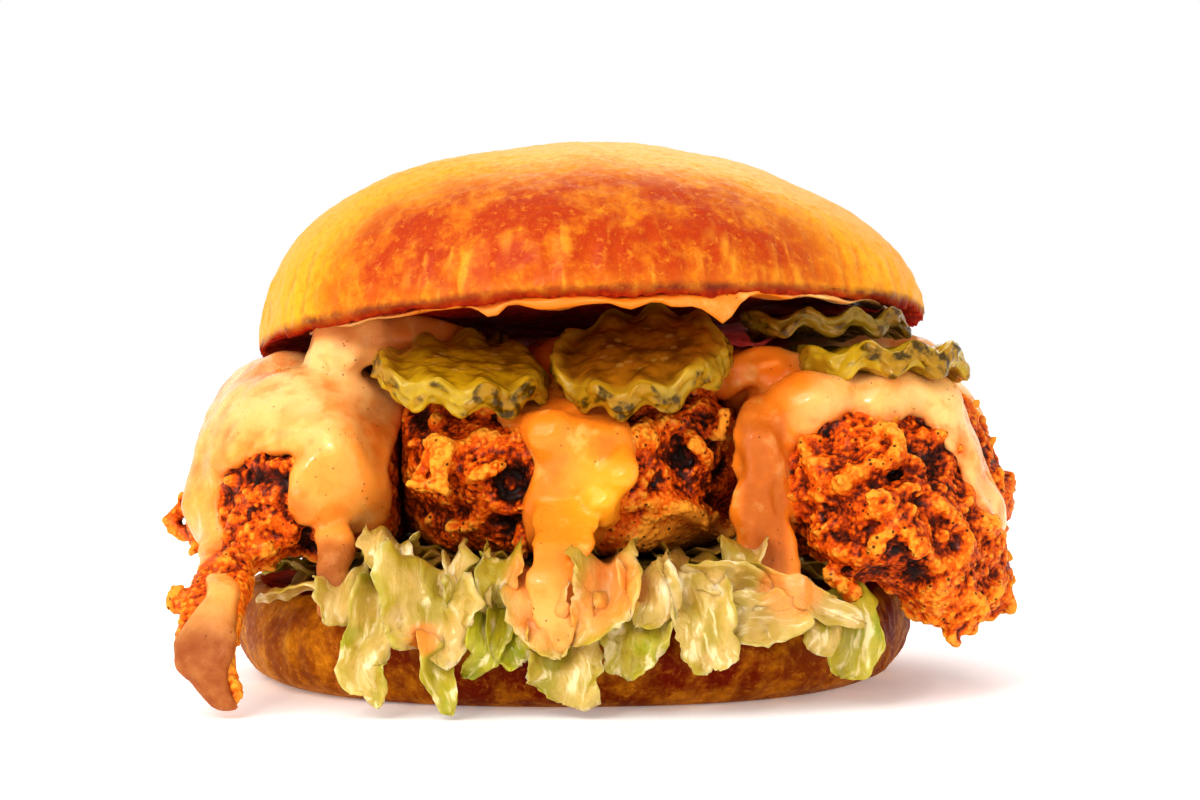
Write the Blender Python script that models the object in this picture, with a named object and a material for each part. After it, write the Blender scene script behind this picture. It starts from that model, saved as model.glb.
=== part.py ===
"""A crusted chicken burger, built from the plate up.

The heel of a glazed bun carries shredded lettuce, three pieces of crusted chicken that hang over its
edge, poured sauce, crinkle-cut pickle slices and the tilted crown of the bun. Every size below is in
millimetres. The photograph's side of the burger faces -Y and the plate is at Z = 0.
"""

import math
import random

import bmesh
import bpy
from mathutils import Euler, Vector, noise

MM = 0.001
GAP = 0.35  # air between two pieces that lie on each other

# Heel of the bun
BUN_RADIUS = 55.0
BUN_SEGMENTS = 36
HEEL_CENTRE_X = -4.5
HEEL_FOOT_RADIUS = 48.5
HEEL_HEIGHT = 15.5
HEEL_DISH = 1.2  # how far the cut face sinks at its middle

# Crown of the bun, about the middle of its cut face
CROWN_CENTRE = Vector((-1.4, -0.5, 55.2))
CROWN_HEIGHT = 30.2
CROWN_TILT_BACK = 6.4  # degrees, front edge up
CROWN_ROLL = 2.9  # degrees, left edge down
CROWN_LIP = 3.2  # depth of the hollow under the crown
CROWN_LEFT_FULLNESS = 2.35  # superellipse exponent of the dome
CROWN_RIGHT_FULLNESS = 1.8

# Shredded lettuce between heel and chicken
BED_BOTTOM = HEEL_HEIGHT + 1.0
BED_TOP = 21.4
BED_RADIUS = 48.0
BED_SEGMENTS = 28
SHRED_THICKNESS = 1.1
SHRED_OUT = BUN_RADIUS + 3.4  # how far from the heel's middle a shred hangs down

# Chicken: the three pieces lie side by side, front to back
CHICKEN_FLOOR = BED_TOP + 0.7
CHICKEN_FULLNESS = 2.3  # superellipsoid exponent of a piece
CHICKEN_CUTS = 11  # squares along each side of the cube that a piece is made from
CRAG_BROAD = 1.9  # heights of the crust's relief, from broad swells to single nodules
CRAG_MIDDLE = 1.1
CRAG_NODULE = 3.4
CRAG_LEVEL = 0.42  # distance from a nodule's middle at which the relief is level
SAG_START = 50.0  # from this far off the bun's axis the pieces hang down
SAG_EASE = 6.0
LEFT_SEAM_X = -31.0  # where the left and the middle piece are pressed together
RIGHT_SEAM_X = 22.0
TOPPING_ROOM = 1.9  # left above the chicken for the sauce under pickles and crown
# The strip of crust that hangs from the left piece down to the plate
FLAP_PATH = [
    Vector((-55.0, -34.0, 25.0)),
    Vector((-56.0, -47.0, 18.5)),
    Vector((-57.0, -55.0, 11.5)),
    Vector((-55.0, -58.5, 6.0)),
    Vector((-51.5, -60.5, 2.2)),
]
FLAP_WIDTHS = [9.0, 9.0, 10.5, 6.0, 3.2]
FLAP_THICKNESS = [5.0, 4.5, 3.6, 3.0, 2.2]

SAUCE_CUTS = 8
SAUCE_THICKNESS = 2.3
SAUCE_EDGE = 0.9
SAUCE_RIM = 3.0  # how far from its edge the sauce reaches its full thickness
SAUCE_FALL = 2.6  # how steeply its skin dives where the sauce ends
SAUCE_SINK = 6.0  # where there is no sauce its surface runs this deep in the chicken

# The run of sauce that falls from the middle piece over the lettuce
TONGUE_PATH = [
    Vector((-5.5, -46.0, 34.0)),
    Vector((-5.5, -53.5, 28.0)),
    Vector((-6.5, -58.5, 21.5)),
    Vector((-6.0, -61.8, 15.5)),
    Vector((-5.0, -62.2, 9.2)),
]
TONGUE_WIDTHS = [10.0, 10.5, 12.0, 10.0, 3.0]
TONGUE_THICKNESS = [4.0, 3.6, 3.2, 3.0, 1.8]

SPREAD_THICKNESS = 1.4  # sauce spread under the crown
SPREAD_SEGMENTS = 26
DROP_PLACE = Vector((18.5, -48.5, -1.0))
DROP_LENGTH = 2.6
DROP_SPREAD = 3.6

PICKLE_RADIUS = 13.6
SLICE_SEGMENTS = 20
CRINKLE_PITCH = 7.2
CRINKLE_DEPTH = 0.95


def clear_scene():
    for thing in list(bpy.data.objects):
        bpy.data.objects.remove(thing)


def material(name, colour, roughness):
    made = bpy.data.materials.new(name)
    made.use_nodes = True
    shader = made.node_tree.nodes["Principled BSDF"]
    shader.inputs["Base Color"].default_value = (*colour, 1.0)
    shader.inputs["Roughness"].default_value = roughness
    shader.inputs["Metallic"].default_value = 0.0
    return made


def object_from(bm, name, finish):
    """Makes an object of a mesh drawn in millimetres, with its faces turned outwards."""
    bmesh.ops.scale(bm, vec=(MM, MM, MM), verts=bm.verts)
    bmesh.ops.triangulate(bm, faces=bm.faces)
    bmesh.ops.recalc_face_normals(bm, faces=bm.faces)
    mesh = bpy.data.meshes.new(name)
    bm.to_mesh(mesh)
    bm.free()
    mesh.materials.append(finish)
    mesh.shade_smooth()
    made = bpy.data.objects.new(name, mesh)
    bpy.context.scene.collection.objects.link(made)
    return made


def smoothstep(low, high, value):
    share = min(1.0, max(0.0, (value - low) / (high - low)))
    return share * share * (3.0 - 2.0 * share)


def axis_distance(point):
    """How far a point lies from the upright axis of the bun's heel."""
    return math.hypot(point.x - HEEL_CENTRE_X, point.y)


def modified(thing, operation, others, solver="EXACT"):
    """Applies one Boolean of the thing with all the others, and removes the others."""
    group = bpy.data.collections.new("boolean_operands")
    for other in others:
        group.objects.link(other)
    step = thing.modifiers.new("Boolean", "BOOLEAN")
    step.operation = operation
    step.operand_type = "COLLECTION"
    step.collection = group
    step.solver = solver
    if solver == "EXACT":
        step.use_self = True
    bpy.context.view_layer.update()
    graph = bpy.context.evaluated_depsgraph_get()
    result = bpy.data.meshes.new_from_object(thing.evaluated_get(graph))
    thing.modifiers.clear()
    old = thing.data
    thing.data = result
    bpy.data.meshes.remove(old)
    for other in others:
        bpy.data.objects.remove(other)
    bpy.data.collections.remove(group)
    return thing


def keep_largest_body(thing):
    """Keeps the main body's skin: drops loose scraps beside it and fills sealed hollows in it."""
    bm = bmesh.new()
    bm.from_mesh(thing.data)
    bmesh.ops.remove_doubles(bm, verts=bm.verts, dist=0.002 * MM)
    bmesh.ops.dissolve_degenerate(bm, edges=bm.edges, dist=0.002 * MM)
    bodies, seen = [], set()
    for start in bm.faces:
        if start in seen:
            continue
        seen.add(start)
        body, front = [start], [start]
        while front:
            for edge in front.pop().edges:
                for face in edge.link_faces:
                    if face not in seen:
                        seen.add(face)
                        body.append(face)
                        front.append(face)
        bodies.append(body)
    bodies.sort(key=lambda body: sum(face.calc_area() for face in body))
    for body in bodies[:-1]:
        bmesh.ops.delete(bm, geom=body, context="FACES")
    bmesh.ops.triangulate(bm, faces=bm.faces)
    bm.to_mesh(thing.data)
    bm.free()
    return thing


def fattened(thing, amount):
    """A copy of the thing with its skin moved out, to cut clearance into its neighbours."""
    bm = bmesh.new()
    bm.from_mesh(thing.data)
    bm.normal_update()
    moved = [(vertex, vertex.normal * amount * MM) for vertex in bm.verts]
    for vertex, shift in moved:
        vertex.co += shift
    bmesh.ops.transform(bm, matrix=thing.matrix_world, verts=bm.verts)
    mesh = bpy.data.meshes.new("clearance")
    bm.to_mesh(mesh)
    bm.free()
    copy = bpy.data.objects.new("clearance", mesh)
    bpy.context.scene.collection.objects.link(copy)
    copy.hide_render = True
    copy.display_type = "WIRE"
    return copy


def turned_solid(rings, segments):
    """A closed mesh through rings of points, of which the first and the last are a single point."""
    bm = bmesh.new()
    made = [[bm.verts.new(point) for point in ring] for ring in rings]
    for lower, upper in zip(made, made[1:]):
        for i in range(segments):
            j = (i + 1) % segments
            if len(lower) == 1:
                bm.faces.new((lower[0], upper[i], upper[j]))
            elif len(upper) == 1:
                bm.faces.new((lower[i], lower[j], upper[0]))
            else:
                bm.faces.new((lower[i], lower[j], upper[j], upper[i]))
    return bm


def along(points, at):
    """A point of the smooth curve through the given points, at from 0 to 1."""
    last = len(points) - 1
    place = min(at * last, last - 1e-6)
    i = int(place)
    t = place - i
    before = points[max(0, i - 1)]
    a, b = points[i], points[i + 1]
    after = points[min(last, i + 2)]
    return 0.5 * (
        2.0 * a
        + (b - before) * t
        + (2.0 * before - 5.0 * a + 4.0 * b - after) * t * t
        + (3.0 * a - before - 3.0 * b + after) * t * t * t
    )


def between(values, at):
    """The value at a share of the way along a list."""
    place = at * (len(values) - 1)
    i = min(int(place), len(values) - 2)
    return values[i] + (values[i + 1] - values[i]) * (place - i)


# The two halves of the bun


def heel_rings(segments):
    """Rings of the heel from the foot's middle, round the crust, to the middle of the cut face."""
    crust = [
        (0.5, 0.0),
        (HEEL_FOOT_RADIUS / BUN_RADIUS, 0.0),
        (0.945, 1.5),
        (0.985, 4.5),
        (1.0, 8.0),
        (0.99, 11.5),
        (0.965, HEEL_HEIGHT - 1.2),
        (0.93, HEEL_HEIGHT),
        (0.78, HEEL_HEIGHT - 0.4),
        (0.45, HEEL_HEIGHT - HEEL_DISH),
    ]
    rings = [[Vector((HEEL_CENTRE_X, 0.0, 0.0))]]
    for share, height in crust:
        ring = []
        for i in range(segments):
            angle = 2.0 * math.pi * i / segments
            way = Vector((math.cos(angle), math.sin(angle), 0.0))
            uneven = 1.0 + 0.014 * math.sin(2.0 * angle + 0.6) + 0.012 * math.sin(5.0 * angle)
            spot = way * (BUN_RADIUS * share * uneven)
            spot.x += HEEL_CENTRE_X
            lift = 0.9 * noise.noise(spot / 14.0) if 0.0 < height < HEEL_HEIGHT - 0.1 else 0.0
            spot.z = height + lift
            ring.append(spot)
        rings.append(ring)
    rings.append([Vector((HEEL_CENTRE_X, 0.0, HEEL_HEIGHT - HEEL_DISH))])
    return rings


def bun_heel(finish):
    rings = heel_rings(BUN_SEGMENTS)
    return object_from(turned_solid(rings, BUN_SEGMENTS), "bun_heel", finish)


def crown_point(share, angle):
    """A point of the dome: share 0 is the rim and 1 is the top."""
    side = 0.5 - 0.5 * math.cos(angle)
    fullness = CROWN_RIGHT_FULLNESS + (CROWN_LEFT_FULLNESS - CROWN_RIGHT_FULLNESS) * side
    turn = 0.5 * math.pi * share
    out = math.cos(turn) ** (2.0 / fullness)
    up = math.sin(turn) ** (2.0 / fullness)
    uneven = 1.0 + 0.010 * math.sin(3.0 * angle + 1.0) + 0.008 * math.sin(7.0 * angle)
    radius = BUN_RADIUS * out * uneven
    spot = Vector((radius * math.cos(angle), radius * math.sin(angle), CROWN_HEIGHT * up))
    spot.z += 0.7 * noise.noise(spot / 22.0)
    return spot


def crown_underside(share, angle):
    """A point of the crown's hollow cut face: share 0 is its middle and 1 the full radius."""
    way = Vector((math.cos(angle), math.sin(angle), 0.0))
    spot = way * (BUN_RADIUS * share)
    wave = 0.8 * noise.noise(spot / 7.0) * smoothstep(0.8, 0.9, share)
    spot.z = CROWN_LIP * (1.0 - share**5) - 0.6 + wave
    return spot


def crown_rings(segments):
    """Rings of the crown, from the middle of its hollow cut face, round the lip, to the top."""
    dome = [0.0, 0.04, 0.12, 0.22, 0.34, 0.5, 0.68, 0.86]
    turns = [2.0 * math.pi * i / segments for i in range(segments)]
    rings = [[crown_underside(0.0, 0.0)]]
    for share in (0.4, 0.7, 0.86, 0.965):
        rings.append([crown_underside(share, angle) for angle in turns])
    for share in dome:
        ring = [crown_point(share, angle) for angle in turns]
        for spot in ring:
            spot.z += 1.0 - share
        rings.append(ring)
    rings.append([crown_point(1.0, 0.0)])
    return rings


def seat_on_crown(made):
    """Turns and moves a thing that is drawn about the middle of the crown's cut face."""
    made.location = CROWN_CENTRE * MM
    made.rotation_euler = Euler(
        (math.radians(-CROWN_TILT_BACK), math.radians(-CROWN_ROLL), 0.0)
    )
    bpy.context.view_layer.update()
    return made


def crown_plane(x, y):
    """Height of the crown's cut plane above a point of the plate."""
    back = math.tan(math.radians(CROWN_TILT_BACK))
    side = math.tan(math.radians(CROWN_ROLL))
    return CROWN_CENTRE.z - (y - CROWN_CENTRE.y) * back + (x - CROWN_CENTRE.x) * side


def bun_crown(finish):
    rings = crown_rings(BUN_SEGMENTS)
    return seat_on_crown(object_from(turned_solid(rings, BUN_SEGMENTS), "bun_crown", finish))


def crown_sauce(finish):
    """The sauce spread under the crown, out to the rim at the front, with one drop that hangs."""
    turns = [2.0 * math.pi * i / SPREAD_SEGMENTS for i in range(SPREAD_SEGMENTS)]

    def spread_share(share, angle):
        front = smoothstep(-0.2, 0.7, -math.sin(angle))
        return share * (0.80 + 0.145 * front + 0.02 * math.sin(6.0 * angle))

    def spread_point(share, angle, drop):
        spot = crown_underside(spread_share(share, angle), angle)
        spot.z -= drop
        return spot

    rings = [[spread_point(0.0, 0.0, GAP + SPREAD_THICKNESS)]]
    for share, drop in ((0.5, SPREAD_THICKNESS), (0.88, SPREAD_THICKNESS), (1.0, 0.9), (1.0, 0.3),
                        (0.88, 0.0), (0.5, 0.0)):
        ring = [spread_point(share, angle, GAP + drop) for angle in turns]
        for spot, angle in zip(ring, turns):
            if drop > 0.0 and share > 0.8:
                near = (spot - DROP_PLACE).length_squared
                spot.z -= DROP_LENGTH * math.exp(-near / (2.0 * DROP_SPREAD**2))
        rings.append(ring)
    rings.append([spread_point(0.0, 0.0, GAP)])
    return seat_on_crown(object_from(turned_solid(rings, SPREAD_SEGMENTS), "sauce_crown", finish))


# Chicken


def ball_mesh(cuts):
    """A unit ball of evenly spread squares, made from a subdivided cube."""
    bm = bmesh.new()
    bmesh.ops.create_cube(bm, size=2.0)
    bmesh.ops.subdivide_edges(bm, edges=bm.edges, cuts=cuts - 1, use_grid_fill=True)
    for vertex in bm.verts:
        bent = Vector(math.tan(0.25 * math.pi * part) for part in vertex.co)
        vertex.co = bent.normalized()
    return bm


class Piece:
    """One piece of chicken: a rounded block with half sizes, pressed between two seams."""

    def __init__(self, name, centre, half, sag, low_x, high_x, seed):
        self.name = name
        self.centre = Vector(centre)
        self.half = Vector(half)
        self.sag = sag
        self.low_x = low_x
        self.high_x = high_x
        self.seed = Vector((seed, 2.7 * seed, -1.3 * seed))

    def skin(self, way):
        """Point and outward direction of the plain block, where the ball's point is way."""
        power = CHICKEN_FULLNESS
        size = sum(abs(part) ** power for part in way) ** (-1.0 / power)
        on_unit = way * size
        point = Vector(a * b for a, b in zip(on_unit, self.half))
        slope = Vector(
            math.copysign(abs(a) ** (power - 1.0), a) / b for a, b in zip(on_unit, self.half)
        )
        return point + self.centre, slope.normalized()

    def settled(self, point, room):
        """Presses a point between seams, lettuce and what lies on top, and lets it sag off the bun.

        room is the height left free under the pickles and the crown.
        """
        spot = point.copy()
        spot.x = min(max(spot.x, self.low_x), self.high_x)
        spot.z = max(spot.z, CHICKEN_FLOOR)
        top = self.centre.z + self.half.z
        depth = min(1.0, max(0.0, (top - spot.z) / (top - CHICKEN_FLOOR)))
        off = max(0.0, axis_distance(spot) - SAG_START)
        spot.z -= self.sag * off * off / (off + SAG_EASE) * (0.35 + 0.65 * depth)
        spot.z = min(spot.z, ceiling(spot) - room)
        return spot

    def crag(self, point):
        """Height of the crust's nodules and folds."""
        broad = noise.noise(point / 13.0 + self.seed)
        middle = noise.noise(point / 6.5 + self.seed)
        nodule = noise.voronoi(point / 9.0 + self.seed)[0][0]
        return CRAG_BROAD * broad + CRAG_MIDDLE * middle + CRAG_NODULE * (CRAG_LEVEL - nodule)

    def crust_point(self, way):
        point, out = self.skin(way)
        return self.settled(point + out * self.crag(point), TOPPING_ROOM)


def pieces():
    return [
        Piece("chicken_left", (-45.5, -4.0, 33.5), (20.0, 41.0, 19.0), 0.55, -90.0,
              LEFT_SEAM_X - GAP, 3.1),
        Piece("chicken_middle", (-4.5, -2.0, 36.0), (31.0, 47.0, 22.0), 0.3,
              LEFT_SEAM_X + GAP, RIGHT_SEAM_X - GAP, 11.4),
        Piece("chicken_right", (41.5, -5.0, 35.0), (25.0, 43.0, 21.0), 0.95,
              RIGHT_SEAM_X + GAP, 90.0, 5.6),
    ]


def chicken(piece, finish):
    bm = ball_mesh(CHICKEN_CUTS)
    for vertex in bm.verts:
        vertex.co = piece.crust_point(vertex.co)
    return object_from(bm, piece.name, finish)


def ribbon_mesh(points, widths, across, thickness, steps, columns):
    """A closed strip along a smooth curve through points, both faces split alike.

    widths and thickness run along the strip, and across is the direction of its width.
    """
    bm = bmesh.new()
    upper, lower = [], []
    for i in range(steps + 1):
        at = i / steps
        middle = along(points, at)
        ahead = (along(points, min(1.0, at + 0.02)) - along(points, max(0.0, at - 0.02))).normalized()
        side = (across - ahead * across.dot(ahead)).normalized()
        out = ahead.cross(side).normalized()
        half_width = 0.5 * between(widths, at)
        half_thick = 0.5 * between(thickness, at)
        top_row, low_row = [], []
        for j in range(columns + 1):
            s = 2.0 * j / columns - 1.0
            edge = middle + side * (half_width * s)
            ripple = out * (0.16 * half_width * math.cos(math.pi * s + 5.0 * at))
            top_row.append(bm.verts.new(edge + ripple + out * half_thick))
            low_row.append(bm.verts.new(edge + ripple - out * half_thick))
        upper.append(top_row)
        lower.append(low_row)
    for i in range(steps):
        for j in range(columns):
            corners = [(i, j), (i, j + 1), (i + 1, j + 1), (i + 1, j)]
            a, b, c, d = (upper[m][n] for m, n in corners)
            bm.faces.new((a, b, c))
            bm.faces.new((a, c, d))
            a, b, c, d = (lower[m][n] for m, n in corners)
            bm.faces.new((c, b, a))
            bm.faces.new((d, c, a))
        for j in (0, columns):
            bm.faces.new((upper[i][j], upper[i + 1][j], lower[i + 1][j], lower[i][j]))
    for i in (0, steps):
        for j in range(columns):
            bm.faces.new((upper[i][j], upper[i][j + 1], lower[i][j + 1], lower[i][j]))
    return bm


def hanging_flap(finish):
    """The strip of crust that hangs from the left piece down to the plate."""
    bm = ribbon_mesh(FLAP_PATH, FLAP_WIDTHS, Vector((1.0, -0.35, 0.0)), FLAP_THICKNESS, 10, 3)
    return object_from(bm, "hanging_flap", finish)


# Sauce, poured over each piece of chicken


class Pour:
    """A run of sauce: everything within radius of the line from start to end."""

    def __init__(self, start, end, radius):
        self.start = Vector(start)
        self.end = Vector(end)
        self.radius = radius

    def depth(self, point):
        """How far inside the run a point lies, and less than 0 outside it."""
        line = self.end - self.start
        share = (point - self.start).dot(line) / max(line.length_squared, 1e-9)
        nearest = self.start + line * min(1.0, max(0.0, share))
        return self.radius - (point - nearest).length


LEFT_POURS = [
    Pour((-56.0, -22.0, 50.0), (-40.0, -26.0, 50.0), 15.0),
    Pour((-52.0, 8.0, 51.0), (-44.0, -20.0, 51.0), 16.0),
    Pour((-60.0, -28.0, 40.0), (-66.0, -26.0, 31.0), 9.0),
    Pour((-62.0, -33.0, 33.0), (-59.0, -36.0, 26.0), 5.5),
    Pour((-40.0, -40.0, 42.0), (-38.0, -46.0, 29.0), 7.5),
    Pour((-60.0, 16.0, 46.0), (-66.0, 22.0, 30.0), 7.0),
]
MIDDLE_POURS = [
    Pour((-12.0, -8.0, 50.0), (8.0, -6.0, 50.0), 17.0),
    Pour((-4.0, -30.0, 48.0), (-3.0, -48.0, 42.0), 8.0),
    Pour((-3.0, -50.0, 40.0), (0.0, -51.0, 31.0), 9.0),
    Pour((-4.5, -51.0, 30.0), (-6.0, -50.0, 20.0), 6.5),
    Pour((6.0, 22.0, 48.0), (9.0, 47.0, 34.0), 8.0),
    Pour((-16.0, 18.0, 48.0), (-20.0, 46.0, 40.0), 7.0),
]
RIGHT_POURS = [
    Pour((32.0, -26.0, 49.0), (54.0, -26.0, 48.0), 12.0),
    Pour((40.0, -12.0, 51.0), (48.0, 12.0, 51.0), 16.0),
    Pour((27.0, -38.0, 44.0), (26.0, -48.0, 20.0), 5.5),
    Pour((58.0, -26.0, 44.0), (64.0, -27.0, 28.0), 6.0),
    Pour((52.0, 20.0, 46.0), (58.0, 33.0, 30.0), 7.5),
]


def pour_depth(pours, point):
    return max(pour.depth(point) for pour in pours)


def sauce_height(depth):
    """Height of the sauce's round-edged skin, and a dip into the chicken where there is none."""
    if depth >= 0.0:
        share = min(1.0, depth / SAUCE_RIM)
        return SAUCE_EDGE + (SAUCE_THICKNESS - SAUCE_EDGE) * math.sqrt(share * (2.0 - share))
    return max(-SAUCE_SINK, SAUCE_EDGE + SAUCE_FALL * depth)


def sauce(piece, pours, name, finish, tongues, neighbours):
    """The sauce on one piece: a smooth skin over the pours, cut clear of what it lies on."""
    bm = ball_mesh(SAUCE_CUTS)
    for vertex in bm.verts:
        point, out = piece.skin(vertex.co)
        level = point + out * (1.1 * noise.noise(point / 13.0 + piece.seed) + 0.5)
        depth = pour_depth(pours, piece.settled(level, GAP))
        vertex.co = piece.settled(level + out * sauce_height(depth), GAP)
    made = object_from(bm, name, finish)
    if tongues:
        modified(made, "UNION", tongues)
    cutters = [fattened(other, GAP) for other in neighbours]
    modified(made, "DIFFERENCE", cutters)
    return keep_largest_body(made)


def middle_tongue(finish):
    """The run of sauce that falls from the middle piece over the lettuce."""
    bm = ribbon_mesh(TONGUE_PATH, TONGUE_WIDTHS, Vector((1.0, 0.0, 0.0)), TONGUE_THICKNESS, 8, 3)
    return object_from(bm, "tongue", finish)


# Pickles


class Slice:
    """One crinkle-cut slice: turn is its rotation in degrees, bend how far its sides droop."""

    def __init__(self, name, centre, turn, size, thickness, bend):
        self.name = name
        self.centre = Vector(centre)
        self.turn = Euler([math.radians(part) for part in turn], "ZYX")
        self.radius = PICKLE_RADIUS * size
        self.thickness = thickness
        self.bend = bend

    def face_point(self, x, y, side):
        """A point of a face: side is 1 for the upper face and -1 for the lower."""
        crinkle = CRINKLE_DEPTH * math.sin(2.0 * math.pi * x / CRINKLE_PITCH)
        bowl = self.bend * (x * x + 0.4 * y * y) / self.radius
        return Vector((x, y, crinkle - bowl + 0.5 * side * self.thickness))

    def underside(self, spot):
        """Height of the slice's lower face over a point, rising steeply beside the slice."""
        normal = self.turn.to_matrix() @ Vector((0.0, 0.0, 1.0))
        shift = spot - self.centre
        level = -(normal.x * shift.x + normal.y * shift.y) / normal.z
        beside = max(0.0, math.hypot(shift.x, shift.y) - self.radius - 1.0)
        thick = 0.5 * self.thickness + CRINKLE_DEPTH
        return self.centre.z + level - thick / normal.z + 1.6 * beside

    def solid(self, finish):
        shares = (0.45, 0.88, 1.0)
        rings = [[self.face_point(0.0, 0.0, -1)]]
        order = [(share, -1) for share in shares] + [(share, 1) for share in reversed(shares)]
        for share, side in order:
            ring = []
            for i in range(SLICE_SEGMENTS):
                angle = 2.0 * math.pi * i / SLICE_SEGMENTS
                radius = self.radius * share * (1.0 + 0.03 * math.sin(3.0 * angle + self.centre.x))
                x, y = radius * math.cos(angle), radius * math.sin(angle)
                ring.append(self.face_point(x, y, side * (0.7 if share == 1.0 else 1.0)))
            rings.append(ring)
        rings.append([self.face_point(0.0, 0.0, 1)])
        made = object_from(turned_solid(rings, SLICE_SEGMENTS), self.name, finish)
        made.location = self.centre * MM
        made.rotation_mode = "ZYX"
        made.rotation_euler = self.turn
        bpy.context.view_layer.update()
        return made


SLICES = [
    Slice("pickle_left", (-20.5, -37.5, 50.0), (17.0, 4.0, 8.0), 0.98, 4.2, 0.10),
    Slice("pickle_middle", (6.0, -37.5, 52.0), (27.0, -8.0, -6.0), 1.0, 4.2, 0.08),
    Slice("pickle_right", (43.5, -28.5, 51.4), (-2.0, -1.0, 10.0), 1.0, 4.0, 0.04),
    Slice("pickle_back", (-27.5, -12.0, 52.2), (-6.0, -3.0, 30.0), 0.92, 4.2, 0.0),
    Slice("pickle_upper", (35.0, -24.0, 56.9), (-2.0, -1.0, 10.0), 0.96, 2.8, 0.0),
]


def ceiling(spot):
    """Height of what presses down on the chicken over a point."""
    slices = min(piece.underside(spot) for piece in SLICES)
    return min(slices, crown_plane(spot.x, spot.y) - SPREAD_THICKNESS)


# Lettuce


class Shred:
    """One shred of lettuce that comes out between the layers and hangs in front of the heel.

    degrees is its direction from the front, + to the right; hump and tip are the heights where it
    turns down and where it ends, sweep shifts its tip sideways, and widths run along it.
    """

    def __init__(self, degrees, hump, tip, sweep, widths):
        self.angle = math.radians(degrees)
        self.hump = hump
        self.tip = tip
        self.sweep = sweep
        self.widths = widths

    def path(self):
        way = Vector((math.sin(self.angle), -math.cos(self.angle), 0.0))
        side = Vector((math.cos(self.angle), math.sin(self.angle), 0.0))
        axis = Vector((HEEL_CENTRE_X, 0.0, 0.0))
        start = 0.5 * (BED_BOTTOM + BED_TOP)
        stations = [
            (BED_RADIUS - 9.0, start, 0.0),
            (BED_RADIUS + 2.0, start, 0.0),
            (BUN_RADIUS + 0.4, self.hump, 0.1),
            (SHRED_OUT, 0.5 * (self.hump + self.tip), 0.5),
            (SHRED_OUT + 0.8, self.tip, 1.0),
        ]
        return [
            axis + way * radius + side * (self.sweep * share) + Vector((0.0, 0.0, height))
            for radius, height, share in stations
        ]

    def solid(self, name, finish):
        side = Vector((math.cos(self.angle), math.sin(self.angle), 0.0))
        bm = ribbon_mesh(self.path(), self.widths, side, [SHRED_THICKNESS] * 2, 5, 2)
        return object_from(bm, name, finish)


FRONT_SHREDS = [
    Shred(-29.0, 17.6, 3.4, -1.0, [8.0, 8.0, 7.5, 4.0]),
    Shred(-20.5, 21.6, 1.0, 3.5, [10.0, 12.0, 6.5, 3.0]),
    Shred(-13.0, 18.2, 7.0, -1.0, [6.0, 5.5, 3.5]),
    Shred(-7.5, 18.4, 9.0, 1.0, [7.0, 7.0, 5.0]),
    Shred(0.5, 17.4, 2.4, 0.0, [9.0, 9.0, 12.5, 12.5, 7.0]),
    Shred(9.5, 17.8, 6.4, 0.5, [10.0, 10.0, 11.0, 6.0]),
    Shred(18.5, 19.4, 8.2, 2.0, [11.0, 10.5, 8.0]),
    Shred(25.0, 17.4, 12.0, 1.0, [8.0, 6.5, 5.0]),
    Shred(33.5, 17.0, 13.4, 3.0, [12.0, 11.0, 8.0]),
    Shred(41.5, 16.8, 5.0, 0.0, [7.0, 7.0, 8.0, 5.0]),
]
BACK_SHRED_COUNT = 7
BACK_SHRED_ANGLES = (138.0, 232.0)  # where the back of the bed shows, in degrees from the front


def all_shreds():
    rows = list(FRONT_SHREDS)
    draw = random.Random(8)
    low, high = BACK_SHRED_ANGLES
    for i in range(BACK_SHRED_COUNT):
        at = low + (high - low) * (i + 0.5) / BACK_SHRED_COUNT
        width = draw.uniform(7.0, 10.0)
        rows.append(Shred(at, draw.uniform(17.4, 19.0), draw.uniform(2.0, 10.0),
                          draw.uniform(-2.0, 2.0), [width, width, 0.6 * width]))
    return rows


def lettuce(finish):
    rings = [[Vector((HEEL_CENTRE_X, 0.0, BED_BOTTOM))]]
    for share, height in ((0.6, BED_BOTTOM), (0.97, BED_BOTTOM), (1.0, 0.5 * (BED_BOTTOM + BED_TOP)),
                          (0.97, BED_TOP - 0.4), (0.6, BED_TOP)):
        ring = []
        for i in range(BED_SEGMENTS):
            angle = 2.0 * math.pi * i / BED_SEGMENTS
            wave = 1.0 + 0.02 * math.sin(9.0 * angle) + 0.02 * math.sin(4.0 * angle)
            radius = BED_RADIUS * share * wave
            ring.append(Vector((HEEL_CENTRE_X + radius * math.cos(angle),
                                radius * math.sin(angle), height)))
        rings.append(ring)
    rings.append([Vector((HEEL_CENTRE_X, 0.0, BED_TOP))])
    made = object_from(turned_solid(rings, BED_SEGMENTS), "lettuce", finish)
    strips = [one.solid(f"shred_{i}", finish) for i, one in enumerate(all_shreds())]
    return keep_largest_body(modified(made, "UNION", strips, "MANIFOLD"))


def centre_on_plate():
    """Moves everything so that the middle of its outline lies over the origin."""
    spots = [
        thing.matrix_world @ vertex.co
        for thing in bpy.data.objects
        for vertex in thing.data.vertices
    ]
    shift = Vector((0.0, 0.0, 0.0))
    for axis in (0, 1):
        values = [spot[axis] for spot in spots]
        shift[axis] = -0.5 * (min(values) + max(values))
    for thing in bpy.data.objects:
        thing.location += shift
    bpy.context.view_layer.update()


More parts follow.
